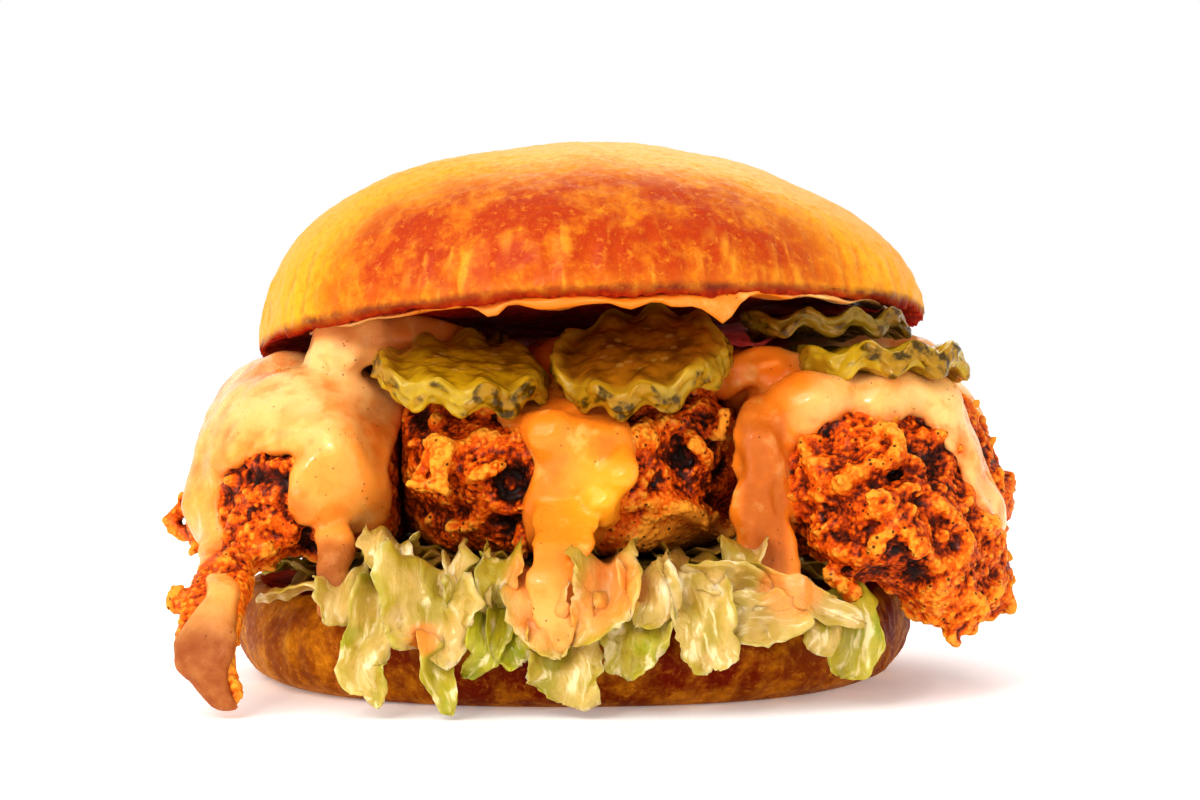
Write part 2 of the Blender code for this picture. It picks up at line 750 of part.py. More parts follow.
def build():
    clear_scene()
    crust = material("bun_crust", (0.78, 0.33, 0.06), 0.35)
    breading = material("chicken_breading", (0.62, 0.20, 0.03), 0.6)
    cream = material("sauce_cream", (0.90, 0.55, 0.25), 0.25)
    brine = material("pickle_flesh", (0.42, 0.40, 0.06), 0.3)
    leaf = material("lettuce_leaf", (0.75, 0.80, 0.45), 0.5)

    bun_heel(crust)
    crown = bun_crown(crust)
    spread = crown_sauce(cream)
    greens = lettuce(leaf)
    slices = [one.solid(brine) for one in SLICES]
    modified(spread, "DIFFERENCE", [fattened(one, GAP) for one in slices])
    keep_largest_body(spread)
    left, middle, right = pieces()
    meats = [chicken(piece, breading) for piece in (left, middle, right)]
    keep_largest_body(modified(meats[0], "UNION", [hanging_flap(breading)]))
    around = [*meats, *slices, crown, spread, greens]
    sauce(left, LEFT_POURS, "sauce_left", cream, [], around)
    sauce(middle, MIDDLE_POURS, "sauce_middle", cream, [middle_tongue(cream)], around)
    sauce(right, RIGHT_POURS, "sauce_right", cream, [], around)
    centre_on_plate()


build()
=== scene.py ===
# %% [markdown]
# # A chicken burger, dressed piece by piece
# The solids that this file loads already have every piece at its real size: the two halves of the
# bun, the lettuce, three pieces of chicken, their sauce and the pickles. Here each one gets the
# surface that a camera sees. Lengths in this file are in millimetres, and are turned into Blender's
# metres only where a mesh is made.

import math
import random

import bmesh
import bpy
import numpy as np
from mathutils import Euler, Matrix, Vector, noise
from mathutils.bvhtree import BVHTree


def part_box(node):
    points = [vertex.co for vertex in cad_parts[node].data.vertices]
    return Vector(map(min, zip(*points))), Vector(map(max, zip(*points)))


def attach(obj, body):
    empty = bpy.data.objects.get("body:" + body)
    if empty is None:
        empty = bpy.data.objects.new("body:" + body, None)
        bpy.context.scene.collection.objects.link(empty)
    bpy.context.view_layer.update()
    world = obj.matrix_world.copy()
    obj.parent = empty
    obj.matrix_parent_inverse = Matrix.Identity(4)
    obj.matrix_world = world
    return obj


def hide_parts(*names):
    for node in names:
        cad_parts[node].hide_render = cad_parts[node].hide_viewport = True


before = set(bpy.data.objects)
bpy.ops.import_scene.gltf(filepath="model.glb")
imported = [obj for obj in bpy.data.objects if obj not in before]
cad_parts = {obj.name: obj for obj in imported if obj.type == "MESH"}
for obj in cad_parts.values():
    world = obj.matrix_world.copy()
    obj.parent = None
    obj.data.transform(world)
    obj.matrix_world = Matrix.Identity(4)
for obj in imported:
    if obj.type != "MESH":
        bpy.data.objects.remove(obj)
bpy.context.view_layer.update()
MM = 0.001
print("solids:", sorted(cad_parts))

# %% [markdown]
# ## Where the photograph's middle line is
# The solids stand with the middle of their outline over the origin. The sizes below were read from
# the photograph, about a line through the middle of the picture, so one small shift, taken from the
# place of the bun's lower half, brings them together.

# %% The shift from the photograph's middle line to the frame
HEEL_MIDDLE_IN_PHOTO = Vector((-4.50, 0.74, 0.0))


def box_of(node):
    """Lowest and highest corner of a solid, in millimetres."""
    low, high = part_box(node)
    return Vector(low) / MM, Vector(high) / MM


heel_low, heel_high = box_of("bun_heel")
SHIFT = 0.5 * (heel_low + heel_high) - HEEL_MIDDLE_IN_PHOTO
SHIFT.z = 0.0
print("shift of the photograph's sizes, mm:", [round(part, 2) for part in SHIFT])

# %% [markdown]
# ## Small tools for meshes
# Most pieces here are dense meshes that are pushed about point by point. NumPy does that for a
# hundred thousand points at once, so these helpers carry points between Blender and NumPy.

# %% Mesh helpers


def mesh_object(name, points, faces):
    """Makes an object from points in millimetres and a list of faces."""
    mesh = bpy.data.meshes.new(name)
    mesh.from_pydata([tuple(point * MM) for point in np.asarray(points, dtype=float)], [], faces)
    mesh.update()
    made = bpy.data.objects.new(name, mesh)
    bpy.context.scene.collection.objects.link(made)
    return made


def points_of(thing):
    """The thing's points in millimetres, as rows of an array."""
    flat = np.empty(3 * len(thing.data.vertices))
    thing.data.vertices.foreach_get("co", flat)
    return flat.reshape(-1, 3) / MM


def set_points(thing, points):
    thing.data.vertices.foreach_set("co", (np.asarray(points) * MM).ravel())
    thing.data.update()


def normals_of(thing):
    flat = np.empty(3 * len(thing.data.vertices))
    thing.data.vertex_normals.foreach_get("vector", flat)
    return flat.reshape(-1, 3)


def edges_of(thing):
    flat = np.empty(2 * len(thing.data.edges), dtype=np.int64)
    thing.data.edges.foreach_get("vertices", flat)
    return flat.reshape(-1, 2)


def relaxed(thing, points, rounds):
    """Moves every point half way to the middle of its neighbours, several times over."""
    edges, size = edges_of(thing), len(points)
    a, b = edges[:, 0], edges[:, 1]
    count = np.bincount(a, minlength=size) + np.bincount(b, minlength=size)
    for _ in range(rounds):
        total = [
            np.bincount(a, points[b, k], size) + np.bincount(b, points[a, k], size)
            for k in range(3)
        ]
        middle = np.stack(total, axis=1) / np.maximum(count, 1)[:, None]
        points = points + 0.5 * (middle - points)
    return points


def store(thing, name, values):
    """Keeps one number for each point, for a material to read."""
    layer = thing.data.attributes.new(name, "FLOAT", "POINT")
    layer.data.foreach_set("value", np.asarray(values, dtype=np.float32))


def baked(thing):
    """Applies the thing's modifiers for good."""
    graph = bpy.context.evaluated_depsgraph_get()
    result = bpy.data.meshes.new_from_object(thing.evaluated_get(graph))
    thing.modifiers.clear()
    old = thing.data
    thing.data = result
    result.name = thing.name
    bpy.data.meshes.remove(old)
    return thing


def voxel_skin(thing, voxel):
    """Wraps everything in the thing in one closed skin of small squares, voxel mm wide."""
    step = thing.modifiers.new("Remesh", "REMESH")
    step.mode = "VOXEL"
    step.voxel_size = voxel * MM
    step.use_smooth_shade = True
    return baked(thing)


def solid_copy(node, name):
    """A copy of a solid's mesh, with its loose triangles merged into one skin."""
    made = bpy.data.objects.new(name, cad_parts[node].data.copy())
    bpy.context.scene.collection.objects.link(made)
    bm = bmesh.new()
    bm.from_mesh(made.data)
    bmesh.ops.remove_doubles(bm, verts=bm.verts, dist=0.01 * MM)
    bm.to_mesh(made.data)
    bm.free()
    made.data.materials.clear()
    return made


def joined(things, name):
    """Puts the meshes of several things into one object and removes the others."""
    bm = bmesh.new()
    for thing in things:
        bm.from_mesh(thing.data)
        bpy.data.objects.remove(thing)
    mesh = bpy.data.meshes.new(name)
    bm.to_mesh(mesh)
    bm.free()
    made = bpy.data.objects.new(name, mesh)
    bpy.context.scene.collection.objects.link(made)
    return made


def largest_body(thing):
    """Removes the small loose bits that a skin can leave beside its main body."""
    bm = bmesh.new()
    bm.from_mesh(thing.data)
    unseen, bodies = set(bm.verts), []
    while unseen:
        body, front = [], [unseen.pop()]
        while front:
            vertex = front.pop()
            body.append(vertex)
            for edge in vertex.link_edges:
                other = edge.other_vert(vertex)
                if other in unseen:
                    unseen.remove(other)
                    front.append(other)
        bodies.append(body)
    bodies.sort(key=len)
    for body in bodies[:-1]:
        bmesh.ops.delete(bm, geom=body, context="VERTS")
    bm.to_mesh(thing.data)
    bm.free()
    return thing


def finished(thing, material, node_slot, *nodes):
    """Gives a piece its finish, its place on the burger and the solids that it stands for."""
    thing.data.materials.clear()
    thing.data.materials.append(material)
    thing.data.shade_smooth()
    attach(thing, "root")
    if nodes:
        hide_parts(*nodes)
    print(f"{thing.name}: {len(thing.data.polygons)} faces")
    return thing


# %% [markdown]
# ## Small tools for rough and rounded shapes
# Food has hardly a straight line in it. Smooth noise bends things gently, and cell noise, which
# measures how far a point is from the nearest of many scattered seeds, makes rounded lumps with
# sharp valleys between them, as a fried crust has.

# %% Noise and blending helpers


def smoothstep(low, high, value):
    share = np.clip((np.asarray(value, dtype=float) - low) / (high - low), 0.0, 1.0)
    return share * share * (3.0 - 2.0 * share)


def waves(points, size, seed):
    """Smooth noise from about -0.5 to 0.5 whose bumps are about size mm across."""
    shift = Vector((seed, 1.7 * seed, -2.3 * seed))
    return np.array([noise.noise(Vector(point) / size + shift) for point in points])


def lumps(points, size, seed):
    """Rounded lumps about size mm across: high at each lump's middle, low in the valleys."""
    shift = Vector((seed, -1.1 * seed, 3.1 * seed))
    return np.array([0.5 - noise.voronoi(Vector(point) / size + shift)[0][0] for point in points])


def along(points, at):
    """A point of the smooth curve through the given points, at from 0 to 1."""
    last = len(points) - 1
    place = min(max(at, 0.0) * last, last - 1e-6)
    i = int(place)
    t = place - i
    before, a, b = points[max(0, i - 1)], points[i], points[i + 1]
    after = points[min(last, i + 2)]
    return 0.5 * (
        2.0 * a
        + (b - before) * t
        + (2.0 * before - 5.0 * a + 4.0 * b - after) * t * t
        + (3.0 * a - before - 3.0 * b + after) * t * t * t
    )


def between(values, at):
    """The value at a share of the way along a list."""
    return float(np.interp(at * (len(values) - 1), range(len(values)), values))


# %% [markdown]
# ## A small kit for materials
# Every finish below is a tree of shader nodes around one Principled shader. This class adds the
# nodes one call at a time. Patterns use Object coordinates, so they stay put when the camera moves,
# and a size is given in millimetres, as everything else is.

# %% The material kit


class Finish:
    """One material, built up step by step. Sockets are passed about as plain values."""

    def __init__(self, name, roughness=0.5):
        self.material = bpy.data.materials.new(name)
        self.material.use_nodes = True
        self.tree = self.material.node_tree
        self.shader = self.tree.nodes["Principled BSDF"]
        self.set("Roughness", roughness)
        self.place = self.add("ShaderNodeTexCoord").outputs["Object"]

    def add(self, kind, **settings):
        made = self.tree.nodes.new(kind)
        for key, value in settings.items():
            setattr(made, key, value)
        return made

    def plug(self, socket, value):
        if isinstance(value, bpy.types.NodeSocket):
            self.tree.links.new(value, socket)
        else:
            socket.default_value = value

    def set(self, name, value):
        """Sets or links one of the shader's sockets."""
        self.plug(self.shader.inputs[name], value)

    def math(self, operation, a, b, clamp=False):
        made = self.add("ShaderNodeMath", operation=operation, use_clamp=clamp)
        self.plug(made.inputs[0], a)
        self.plug(made.inputs[1], b)
        return made.outputs[0]

    def times(self, a, b):
        return self.math("MULTIPLY", a, b)

    def vector(self, x, y, z):
        made = self.add("ShaderNodeCombineXYZ")
        for name, value in (("X", x), ("Y", y), ("Z", z)):
            self.plug(made.inputs[name], value)
        return made.outputs[0]

    def noise(self, place, scale, detail, rough=0.5, twist=0.0):
        """Cloudy noise over any place, with scale features to its unit of length."""
        made = self.add("ShaderNodeTexNoise")
        for name, value in (("Vector", place), ("Scale", scale), ("Detail", detail),
                            ("Roughness", rough), ("Distortion", twist)):
            self.plug(made.inputs[name], value)
        return made.outputs["Fac"]

    def grain(self, size, detail=3.0, rough=0.55):
        """Cloudy noise with features about size mm across."""
        return self.noise(self.place, 1.0 / (size * MM), detail, rough)

    def cells(self, size, feature="F1"):
        """Cell noise with cells about size mm across."""
        made = self.add("ShaderNodeTexVoronoi", feature=feature)
        self.plug(made.inputs["Vector"], self.place)
        self.plug(made.inputs["Scale"], 1.0 / (size * MM))
        return made.outputs["Distance"]

    def range(self, value, low, high, to_low=0.0, to_high=1.0):
        """A smooth step from one number to another, as the value goes from low to high."""
        made = self.add("ShaderNodeMapRange", interpolation_type="SMOOTHSTEP")
        self.plug(made.inputs["Value"], value)
        for name, number in (("From Min", low), ("From Max", high), ("To Min", to_low),
                             ("To Max", to_high)):
            self.plug(made.inputs[name], number)
        return made.outputs["Result"]

    def ramp(self, factor, stops):
        """Colours along a line: stops are pairs of a place from 0 to 1 and a colour."""
        made = self.add("ShaderNodeValToRGB")
        self.plug(made.inputs["Fac"], factor)
        line = made.color_ramp.elements
        while len(line) < len(stops):
            line.new(0.5)
        for element, (place, colour) in zip(line, stops):
            element.position = place
            element.color = colour
        return made.outputs["Color"]

    def mix(self, factor, a, b):
        """Colour a where the factor is 0, and colour b where it is 1."""
        made = self.add("ShaderNodeMix", data_type="RGBA")
        self.plug(made.inputs[0], factor)
        self.plug(made.inputs[6], a)
        self.plug(made.inputs[7], b)
        return made.outputs[2]

    def attribute(self, name):
        """A number that store() kept with each point."""
        made = self.add("ShaderNodeAttribute", attribute_name=name)
        return made.outputs["Fac"]

    def axis(self, name):
        """One of the Object coordinates, which are in metres."""
        made = self.add("ShaderNodeSeparateXYZ")
        self.plug(made.inputs["Vector"], self.place)
        return made.outputs[name]

    def relief(self, *layers):
        """Bump from several heights, each a pair of a socket and how deep it is in mm."""
        below = None
        for height, depth in layers:
            made = self.add("ShaderNodeBump")
            made.inputs["Distance"].default_value = depth * MM
            made.inputs["Strength"].default_value = 1.0
            self.plug(made.inputs["Height"], height)
            if below:
                self.plug(made.inputs["Normal"], below)
            below = made.outputs["Normal"]
        self.set("Normal", below)

    def flesh(self, weight, radius, scale_mm):
        """Light that goes into the surface and comes out again close by."""
        self.set("Subsurface Weight", weight)
        self.set("Subsurface Radius", radius)
        self.set("Subsurface Scale", scale_mm * MM)


def rgb(red, green, blue):
    """A colour as a screen shows it, 0 to 255, turned into the linear values Blender uses."""
    line = [part / 255.0 for part in (red, green, blue)]
    linear = [p / 12.92 if p <= 0.04045 else ((p + 0.055) / 1.055) ** 2.4 for p in line]
    return (*linear, 1.0)


# %% [markdown]
# ## The bun
# Both halves are turned shapes: a baker's tin and a rising dough give a round plan and a smooth
# profile. A profile is drawn from a formula, turned round the axis in rings, and then made uneven,
# because no bun is exact. The glazed top has shallow dents, fine blisters and stretch marks that run
# down to the rim. What the dough has been through is kept with each point, so that the material can
# brown it in a band above the rim, streak the sides and toast the cut face.
# Which way each point faces is kept as well: the sides are left out of the brown band and painted paler, as
# painted rim light.

# %% A surface of rings


def ring_surface(name, rings):
    """A closed skin through rings of equal length that starts and ends in a single point."""
    points, starts = [], []
    for ring in rings:
        starts.append(len(points))
        points.extend(ring)
    faces = []
    for (low, ring), (high, after) in zip(zip(starts, rings), zip(starts[1:], rings[1:])):
        size = max(len(ring), len(after))
        for i in range(size):
            j = (i + 1) % size
            if len(ring) == 1:
                faces.append((low, high + j, high + i))
            elif len(after) == 1:
                faces.append((low + i, low + j, high))
            else:
                faces.append((low + i, low + j, high + j, high + i))
    made = mesh_object(name, points, faces)
    bm = bmesh.new()
    bm.from_mesh(made.data)
    bmesh.ops.recalc_face_normals(bm, faces=bm.faces)
    bm.to_mesh(made.data)
    bm.free()
    return made


# %% The sizes of the upper half
BUN_RADIUS = 55.0
CROWN_CENTRE = Vector((-1.4, -0.5, 55.2)) + SHIFT
CROWN_HEIGHT = 30.2
CROWN_TURN = Euler((math.radians(-6.4), math.radians(-2.9), 0.0))
CROWN_LIP = 3.2
CROWN_LEFT_FULLNESS = 2.35
CROWN_RIGHT_FULLNESS = 1.8
CROWN_SEGMENTS = 400


def crown_dome(share, angle):
    """A point of the dome: share 0 is the rim and 1 the top."""
    side = 0.5 - 0.5 * math.cos(angle)
    fullness = CROWN_RIGHT_FULLNESS + (CROWN_LEFT_FULLNESS - CROWN_RIGHT_FULLNESS) * side
    turn = 0.5 * math.pi * share
    out = math.cos(turn) ** (2.0 / fullness)
    up = math.sin(turn) ** (2.0 / fullness)
    radius = BUN_RADIUS * out * (1.0 + 0.010 * math.sin(3.0 * angle + 1.0)
                                 + 0.008 * math.sin(7.0 * angle))
    spot = Vector((radius * math.cos(angle), radius * math.sin(angle), CROWN_HEIGHT * up))
    spot.z += 0.7 * noise.noise(spot / 22.0) + (1.0 - share) * 0.9
    return spot


def crown_underside(share, angle):
    """A point of the hollow cut face: share 0 is its middle and 1 the full radius."""
    spot = Vector((math.cos(angle), math.sin(angle), 0.0)) * (BUN_RADIUS * share)
    wave = 0.8 * noise.noise(spot / 7.0) * float(smoothstep(0.8, 0.9, share))
    spot.z = CROWN_LIP * (1.0 - share**5) - 0.6 + wave
    return spot


def seated_on_crown(points):
    """Moves points that were drawn about the middle of the cut face to where the crown lies."""
    turn = np.array(CROWN_TURN.to_matrix())
    return np.asarray(points) @ turn.T + np.array(CROWN_CENTRE)


# %% The upper half, dented, blistered and stretched
crown_turns = [2.0 * math.pi * i / CROWN_SEGMENTS for i in range(CROWN_SEGMENTS)]
under_shares = [0.985 * (i / 40.0) ** 0.8 for i in range(1, 41)]
dome_shares = [(i / 120.0) ** 1.15 for i in range(120)]
crown_rings = [[crown_underside(0.0, 0.0)]]
crown_rings += [[crown_underside(share, turn) for turn in crown_turns] for share in under_shares]
crown_rings += [[crown_dome(share, turn) for turn in crown_turns] for share in dome_shares]
crown_rings.append([crown_dome(1.0, 0.0)])
crown = ring_surface("bun_crown_glazed", crown_rings)

under_count = 1 + CROWN_SEGMENTS * len(under_shares)
crown_points = points_of(crown)
crown_normals = normals_of(crown)
is_dome = (np.arange(len(crown_points)) >= under_count).astype(float)
height_share = np.clip(crown_points[:, 2] / CROWN_HEIGHT, 0.0, 1.0)
bearing = np.arctan2(crown_points[:, 1], crown_points[:, 0])
round_the_rim = np.stack([BUN_RADIUS * np.cos(bearing), BUN_RADIUS * np.sin(bearing),
                          0.30 * crown_points[:, 2]], axis=1)
streaks = waves(round_the_rim, 2.2, 4.0) + 0.8 * waves(round_the_rim, 1.0, 9.0)
streak_place = 1.0 - smoothstep(0.15, 0.62, height_share)
dents = waves(crown_points, 15.0, 2.0)
blisters = lumps(crown_points, 3.4, 5.0)
swell = is_dome * (
    0.7 * dents + 0.22 * blisters + 0.4 * streaks * streak_place + 0.12 * waves(crown_points, 1.3, 7.0)
)
crumb = (1.0 - is_dome) * (0.5 * waves(crown_points, 1.6, 1.0) + 0.3 * waves(crown_points, 0.8, 3.0))
set_points(crown, seated_on_crown(crown_points + crown_normals * (swell + crumb)[:, None]))
store(crown, "cut", 1.0 - is_dome)
store(crown, "height", height_share)
store(crown, "streak", streaks * streak_place)
# Front is 1 at the front and back and 0 at the sides, which the finish paints paler as painted rim light.
store(crown, "front", smoothstep(-0.1, 0.9, np.abs(crown_points[:, 1]) / BUN_RADIUS))
print("crown:", len(crown.data.vertices), "points")

# %% [markdown]
# The glaze is egg that browned in the oven: red brown in a broad band above the rim, mottled where
# the brush left more, and golden on the top and in the stretch marks. The band is kept off the left
# and right, which are painted golden and pale, as painted rim light from the white surround. The rim
# itself is scorched to a thin dark line. The cut face was toasted on a hot plate, so it is dark red and
# dry, and paler in the pores; under the crown that dark red is partly painted shade.

# %% The bun's finish


def bun_finish(name, browned, golden, deep, speckle, pale, shine):
    """The crust of a glazed bun; reads cut, height, streak and front from the mesh.

    Speckle is how much of the deep tone shows, and pale how far the sides are painted paler as painted rim
    light, from 0 to 1.
    """
    finish = Finish(name, 0.36)
    mottle = finish.grain(6.0, 5.0, 0.68)
    fine = finish.grain(1.3, 5.0, 0.7)
    clouds = finish.grain(19.0, 2.0)
    height = finish.attribute("height")
    front = finish.attribute("front")
    band = finish.times(finish.range(height, 0.0, 0.2, 0.75, 1.0), finish.range(height, 0.90, 0.50))
    # Painted rim light: front keeps the brown band off the sides.
    band = finish.times(band, finish.range(front, 0.78, 1.0))
    brown = finish.times(band, finish.range(mottle, 0.30, 0.60, 0.45, 1.0))
    brown = finish.math("ADD", brown, finish.range(clouds, 0.5, 0.75, 0.0, 0.12), clamp=True)
    colour = finish.mix(brown, golden, browned)
    colour = finish.mix(finish.range(fine, 0.48, 0.68, 0.0, speckle), colour, deep)
    colour = finish.mix(finish.range(fine, 0.47, 0.30, 0.0, 0.35), colour, rgb(248, 180, 50))
    pores = finish.range(finish.grain(0.7, 3.0), 0.56, 0.72, 0.0, 0.25)
    colour = finish.mix(pores, colour, deep)
    streak = finish.attribute("streak")
    colour = finish.mix(finish.range(streak, 0.15, 0.7, 0.0, 0.35), colour, rgb(248, 188, 56))
    colour = finish.mix(finish.range(streak, -0.15, -0.7, 0.0, 0.35), colour, deep)
    # Painted rim light: the sides are mixed towards a pale gold.
    colour = finish.mix(finish.range(front, 0.92, 0.5, 0.0, pale), colour, rgb(250, 180, 54))
    rim = finish.times(finish.range(height, 0.06, 0.01), finish.range(mottle, 0.4, 0.6, 0.4, 0.95))
    colour = finish.mix(rim, colour, rgb(100, 26, 4))
    # The toasted cut face is dark red; under the crown that dark red is partly painted shade.
    crumb = finish.ramp(finish.grain(1.5, 5.0, 0.7), [
        (0.30, rgb(110, 12, 1)), (0.5, rgb(176, 40, 2)), (0.72, rgb(216, 96, 16))])
    toast = finish.attribute("cut")
    finish.set("Base Color", finish.mix(toast, colour, crumb))
    finish.set("Roughness", finish.math("ADD", finish.range(fine, 0.3, 0.7, 0.34, 0.5),
                                        finish.times(toast, 0.4)))
    finish.set("Coat Weight", finish.math("SUBTRACT", shine, finish.times(toast, shine)))
    finish.set("Coat Roughness", 0.25)
    finish.set("Specular IOR Level", 0.8 * shine)
    finish.relief((finish.cells(1.3, "SMOOTH_F1"), 0.10), (fine, 0.16), (finish.grain(0.45), 0.05))
    return finish.material


crown_finish = bun_finish("glazed_crown", rgb(180, 60, 0), rgb(240, 168, 26), rgb(200, 92, 2),
                          0.4, 0.45, 0.16)
finished(crown, crown_finish, "bun_crust", "bun_crown")

# %% The lower half
HEEL_CENTRE = Vector((-4.5, 0.0, 0.0)) + SHIFT
HEEL_HEIGHT = 15.5
HEEL_SEGMENTS = 360
HEEL_PROFILE = [
    (0.30, 0), (0.70, 0), (0.872, 0), (0.93, 0.9), (0.97, 3), (0.992, 5.5), (1, 8),
    (0.992, 11), (0.972, 13.6), (0.94, 15.2), (0.90, 15.4), (0.78, 15.1), (0.45, 14.3), (0.2, 14.2),
]


def heel_ring(at):
    """The ring of the heel at a share of the way along its profile."""
    spots = [Vector((share * BUN_RADIUS, 0.0, height)) for share, height in HEEL_PROFILE]
    corner = along(spots, at)
    ring = []
    for i in range(HEEL_SEGMENTS):
        angle = 2.0 * math.pi * i / HEEL_SEGMENTS
        uneven = 1.0 + 0.014 * math.sin(2.0 * angle + 0.6) + 0.012 * math.sin(5.0 * angle)
        spot = Vector((math.cos(angle), math.sin(angle), 0.0)) * (corner.x * uneven)
        spot.z = max(0.0, corner.z)
        spot += HEEL_CENTRE
        ring.append(spot)
    return ring


heel_rings = [heel_ring(i / 110.0) for i in range(111)]
heel_rings.insert(0, [HEEL_CENTRE.copy()])
heel_rings.append([HEEL_CENTRE + Vector((0.0, 0.0, HEEL_HEIGHT - 1.3))])
heel = ring_surface("bun_heel_baked", heel_rings)
heel_points = points_of(heel)
heel_out = heel_points - np.array(HEEL_CENTRE)
heel_bearing = np.arctan2(heel_out[:, 1], heel_out[:, 0])
heel_reach = np.hypot(heel_out[:, 0], heel_out[:, 1]) / BUN_RADIUS
wall = smoothstep(0.3, 2.2, heel_points[:, 2]) * smoothstep(0.86, 0.93, heel_reach)
heel_round = np.stack([BUN_RADIUS * np.cos(heel_bearing), BUN_RADIUS * np.sin(heel_bearing),
                       0.3 * heel_points[:, 2]], axis=1)
heel_streaks = waves(heel_round, 3.0, 6.0) + 0.5 * waves(heel_round, 1.3, 2.0)
heel_swell = wall * (0.9 * waves(heel_points, 13.0, 3.0) + 0.35 * heel_streaks
                     + 0.2 * lumps(heel_points, 3.0, 8.0) + 0.12 * waves(heel_points, 1.2, 5.0))
set_points(heel, heel_points + normals_of(heel) * heel_swell[:, None])
store(heel, "cut", smoothstep(13.6, 14.6, heel_points[:, 2]) * (heel_points[:, 2] < 15.6)
      * (heel_reach < 0.93))
store(heel, "height", 0.1 + 0.55 * np.clip(heel_points[:, 2] / HEEL_HEIGHT, 0.0, 1.0))
store(heel, "streak", 0.6 * heel_streaks)
# Front dips towards both ends of the heel, so they brown less; at the shaded right end that is painted light.
store(heel, "front", 0.94 + 0.06 * smoothstep(-0.75, -0.2, heel_out[:, 0] / BUN_RADIUS)
      * (1.0 - 0.7 * smoothstep(0.2, 0.55, heel_out[:, 0] / BUN_RADIUS)))
heel_finish = bun_finish("baked_heel", rgb(126, 32, 0), rgb(240, 166, 20), rgb(104, 30, 0), 0.3, 0.0, 0.04)
finished(heel, heel_finish, "bun_crust", "bun_heel")

# %% [markdown]
# ## Where the sauce runs
# The sauce is planned before the chicken is crusted, because crumbs drown in it: under a thick sheet
# the chicken is made nearly smooth, and the crust starts where the sauce ends. A run of sauce is a
# capsule that may taper: everything within a radius of a line. Noise makes its edges wander.

# %% Runs of sauce


class Pour:
    """A run of sauce along a line, with a radius at each end; deep stretches it front to back."""

    def __init__(self, start, end, radius, end_radius=None, deep=0.45):
        self.start = np.array(start) + np.array(SHIFT)
        self.end = np.array(end) + np.array(SHIFT)
        self.radii = (radius, radius if end_radius is None else end_radius)
        self.scale = np.array((1.0, deep, 1.0))

    def depth(self, points):
        """How far inside the run each point lies, and less than 0 outside it."""
        start, end = self.start * self.scale, self.end * self.scale
        line = end - start
        away = points * self.scale - start
        share = np.clip(away @ line / max(line @ line, 1e-9), 0.0, 1.0)
        radius = self.radii[0] + (self.radii[1] - self.radii[0]) * share
        return radius - np.linalg.norm(away - share[:, None] * line, axis=1)


POURS = {
    "left": [
        Pour((-58, -28, 44.5), (-36, -36, 47.5), 9.5, 10),
        Pour((-56, 4, 50), (-42, -14, 50), 19, deep=1),
        Pour((-61, -22, 40), (-60.5, -26, 31), 6.4, 4.6),
        Pour((-60.5, -26, 31), (-58.6, -34, 20), 4.6, 3),
        Pour((-38.5, -40, 42), (-38.6, -44, 31.5), 7.6, 6.4),
        Pour((-41, -42, 27), (-40.5, -42, 18), 3, 2),
        Pour((-60, 16, 46), (-64, 22, 30), 8, 4, deep=0.8),
        Pour((-44, 33, 44), (-42, 38, 26), 7, 3.6),
        Pour((-55, 28, 44), (-54, 32, 34), 6, 4),
    ],
    "middle": [
        Pour((-14, -8, 52), (8, -6, 52), 20, deep=1),
        Pour((-3.4, -34, 49), (-2.6, -47, 42), 8.6, 7.4),
        Pour((-9, -38, 47), (-6, -47, 37), 6, 5),
        Pour((-2.6, -49, 42), (-3.4, -49, 32), 7.4, 7.6),
        Pour((-4.4, -49, 34), (-6.4, -49, 23), 7, 5.4),
        Pour((6, 22, 50), (9, 44, 28), 9, 4, deep=0.8),
        Pour((-18, 18, 50), (-20, 44, 36), 8, 4.5, deep=0.8),
    ],
    "right": [
        Pour((26, -28, 50), (50, -32, 49), 7.6, 7),
        Pour((38, -6, 52), (50, 12, 50), 19, deep=1),
        Pour((24.6, -42, 46), (24.2, -46, 20), 4.6, 3.6),
        Pour((25, -46, 21), (31.5, -47, 16.4), 3.4, 2),
        Pour((29, -38, 45.5), (37, -40, 47.6), 5.4, 4.6),
        Pour((51, -34, 46.5), (56.4, -33, 38), 5.4, 3.6),
        Pour((56.4, -33, 38), (59.2, -31, 27.5), 3.6, 2.8),
        Pour((58, 6, 44), (63, 12, 28), 7, 3.5, deep=0.8),
        Pour((46, 30, 46), (48, 37, 26), 7, 4),
    ],
}


def covered(points, pours):
    """How deep in the sauce each point lies, with edges that wander by a millimetre or two."""
    wander = np.stack([waves(points, 7.0, 3.0), waves(points, 9.0, 8.0), waves(points, 7.0, 5.0)], axis=1)
    moved = points + 3.0 * wander
    return np.max([pour.depth(moved) for pour in pours], axis=0)


print({side: len(pours) for side, pours in POURS.items()}, "runs of sauce")

# %% [markdown]
# ## The chicken's crust
# Chicken that is dredged in seasoned flour, dipped and dredged again fries into a crust of clumps on
# clumps: knobs as large as a pea, smaller curled crumbs on them, and grit on those. Pushing a surface
# in and out can't make the overhangs. So the boldest ropes and shelves of the photographed crust are
# laid on the solid's own shape first, at their measured places. Then a Geometry Nodes tree scatters
# lumpy nuggets over it, a voxel skin is wrapped round everything, and the next smaller size follows.
# The places where two pieces press together, and the undersides, get fewer.

# %% A kit for Geometry Nodes trees


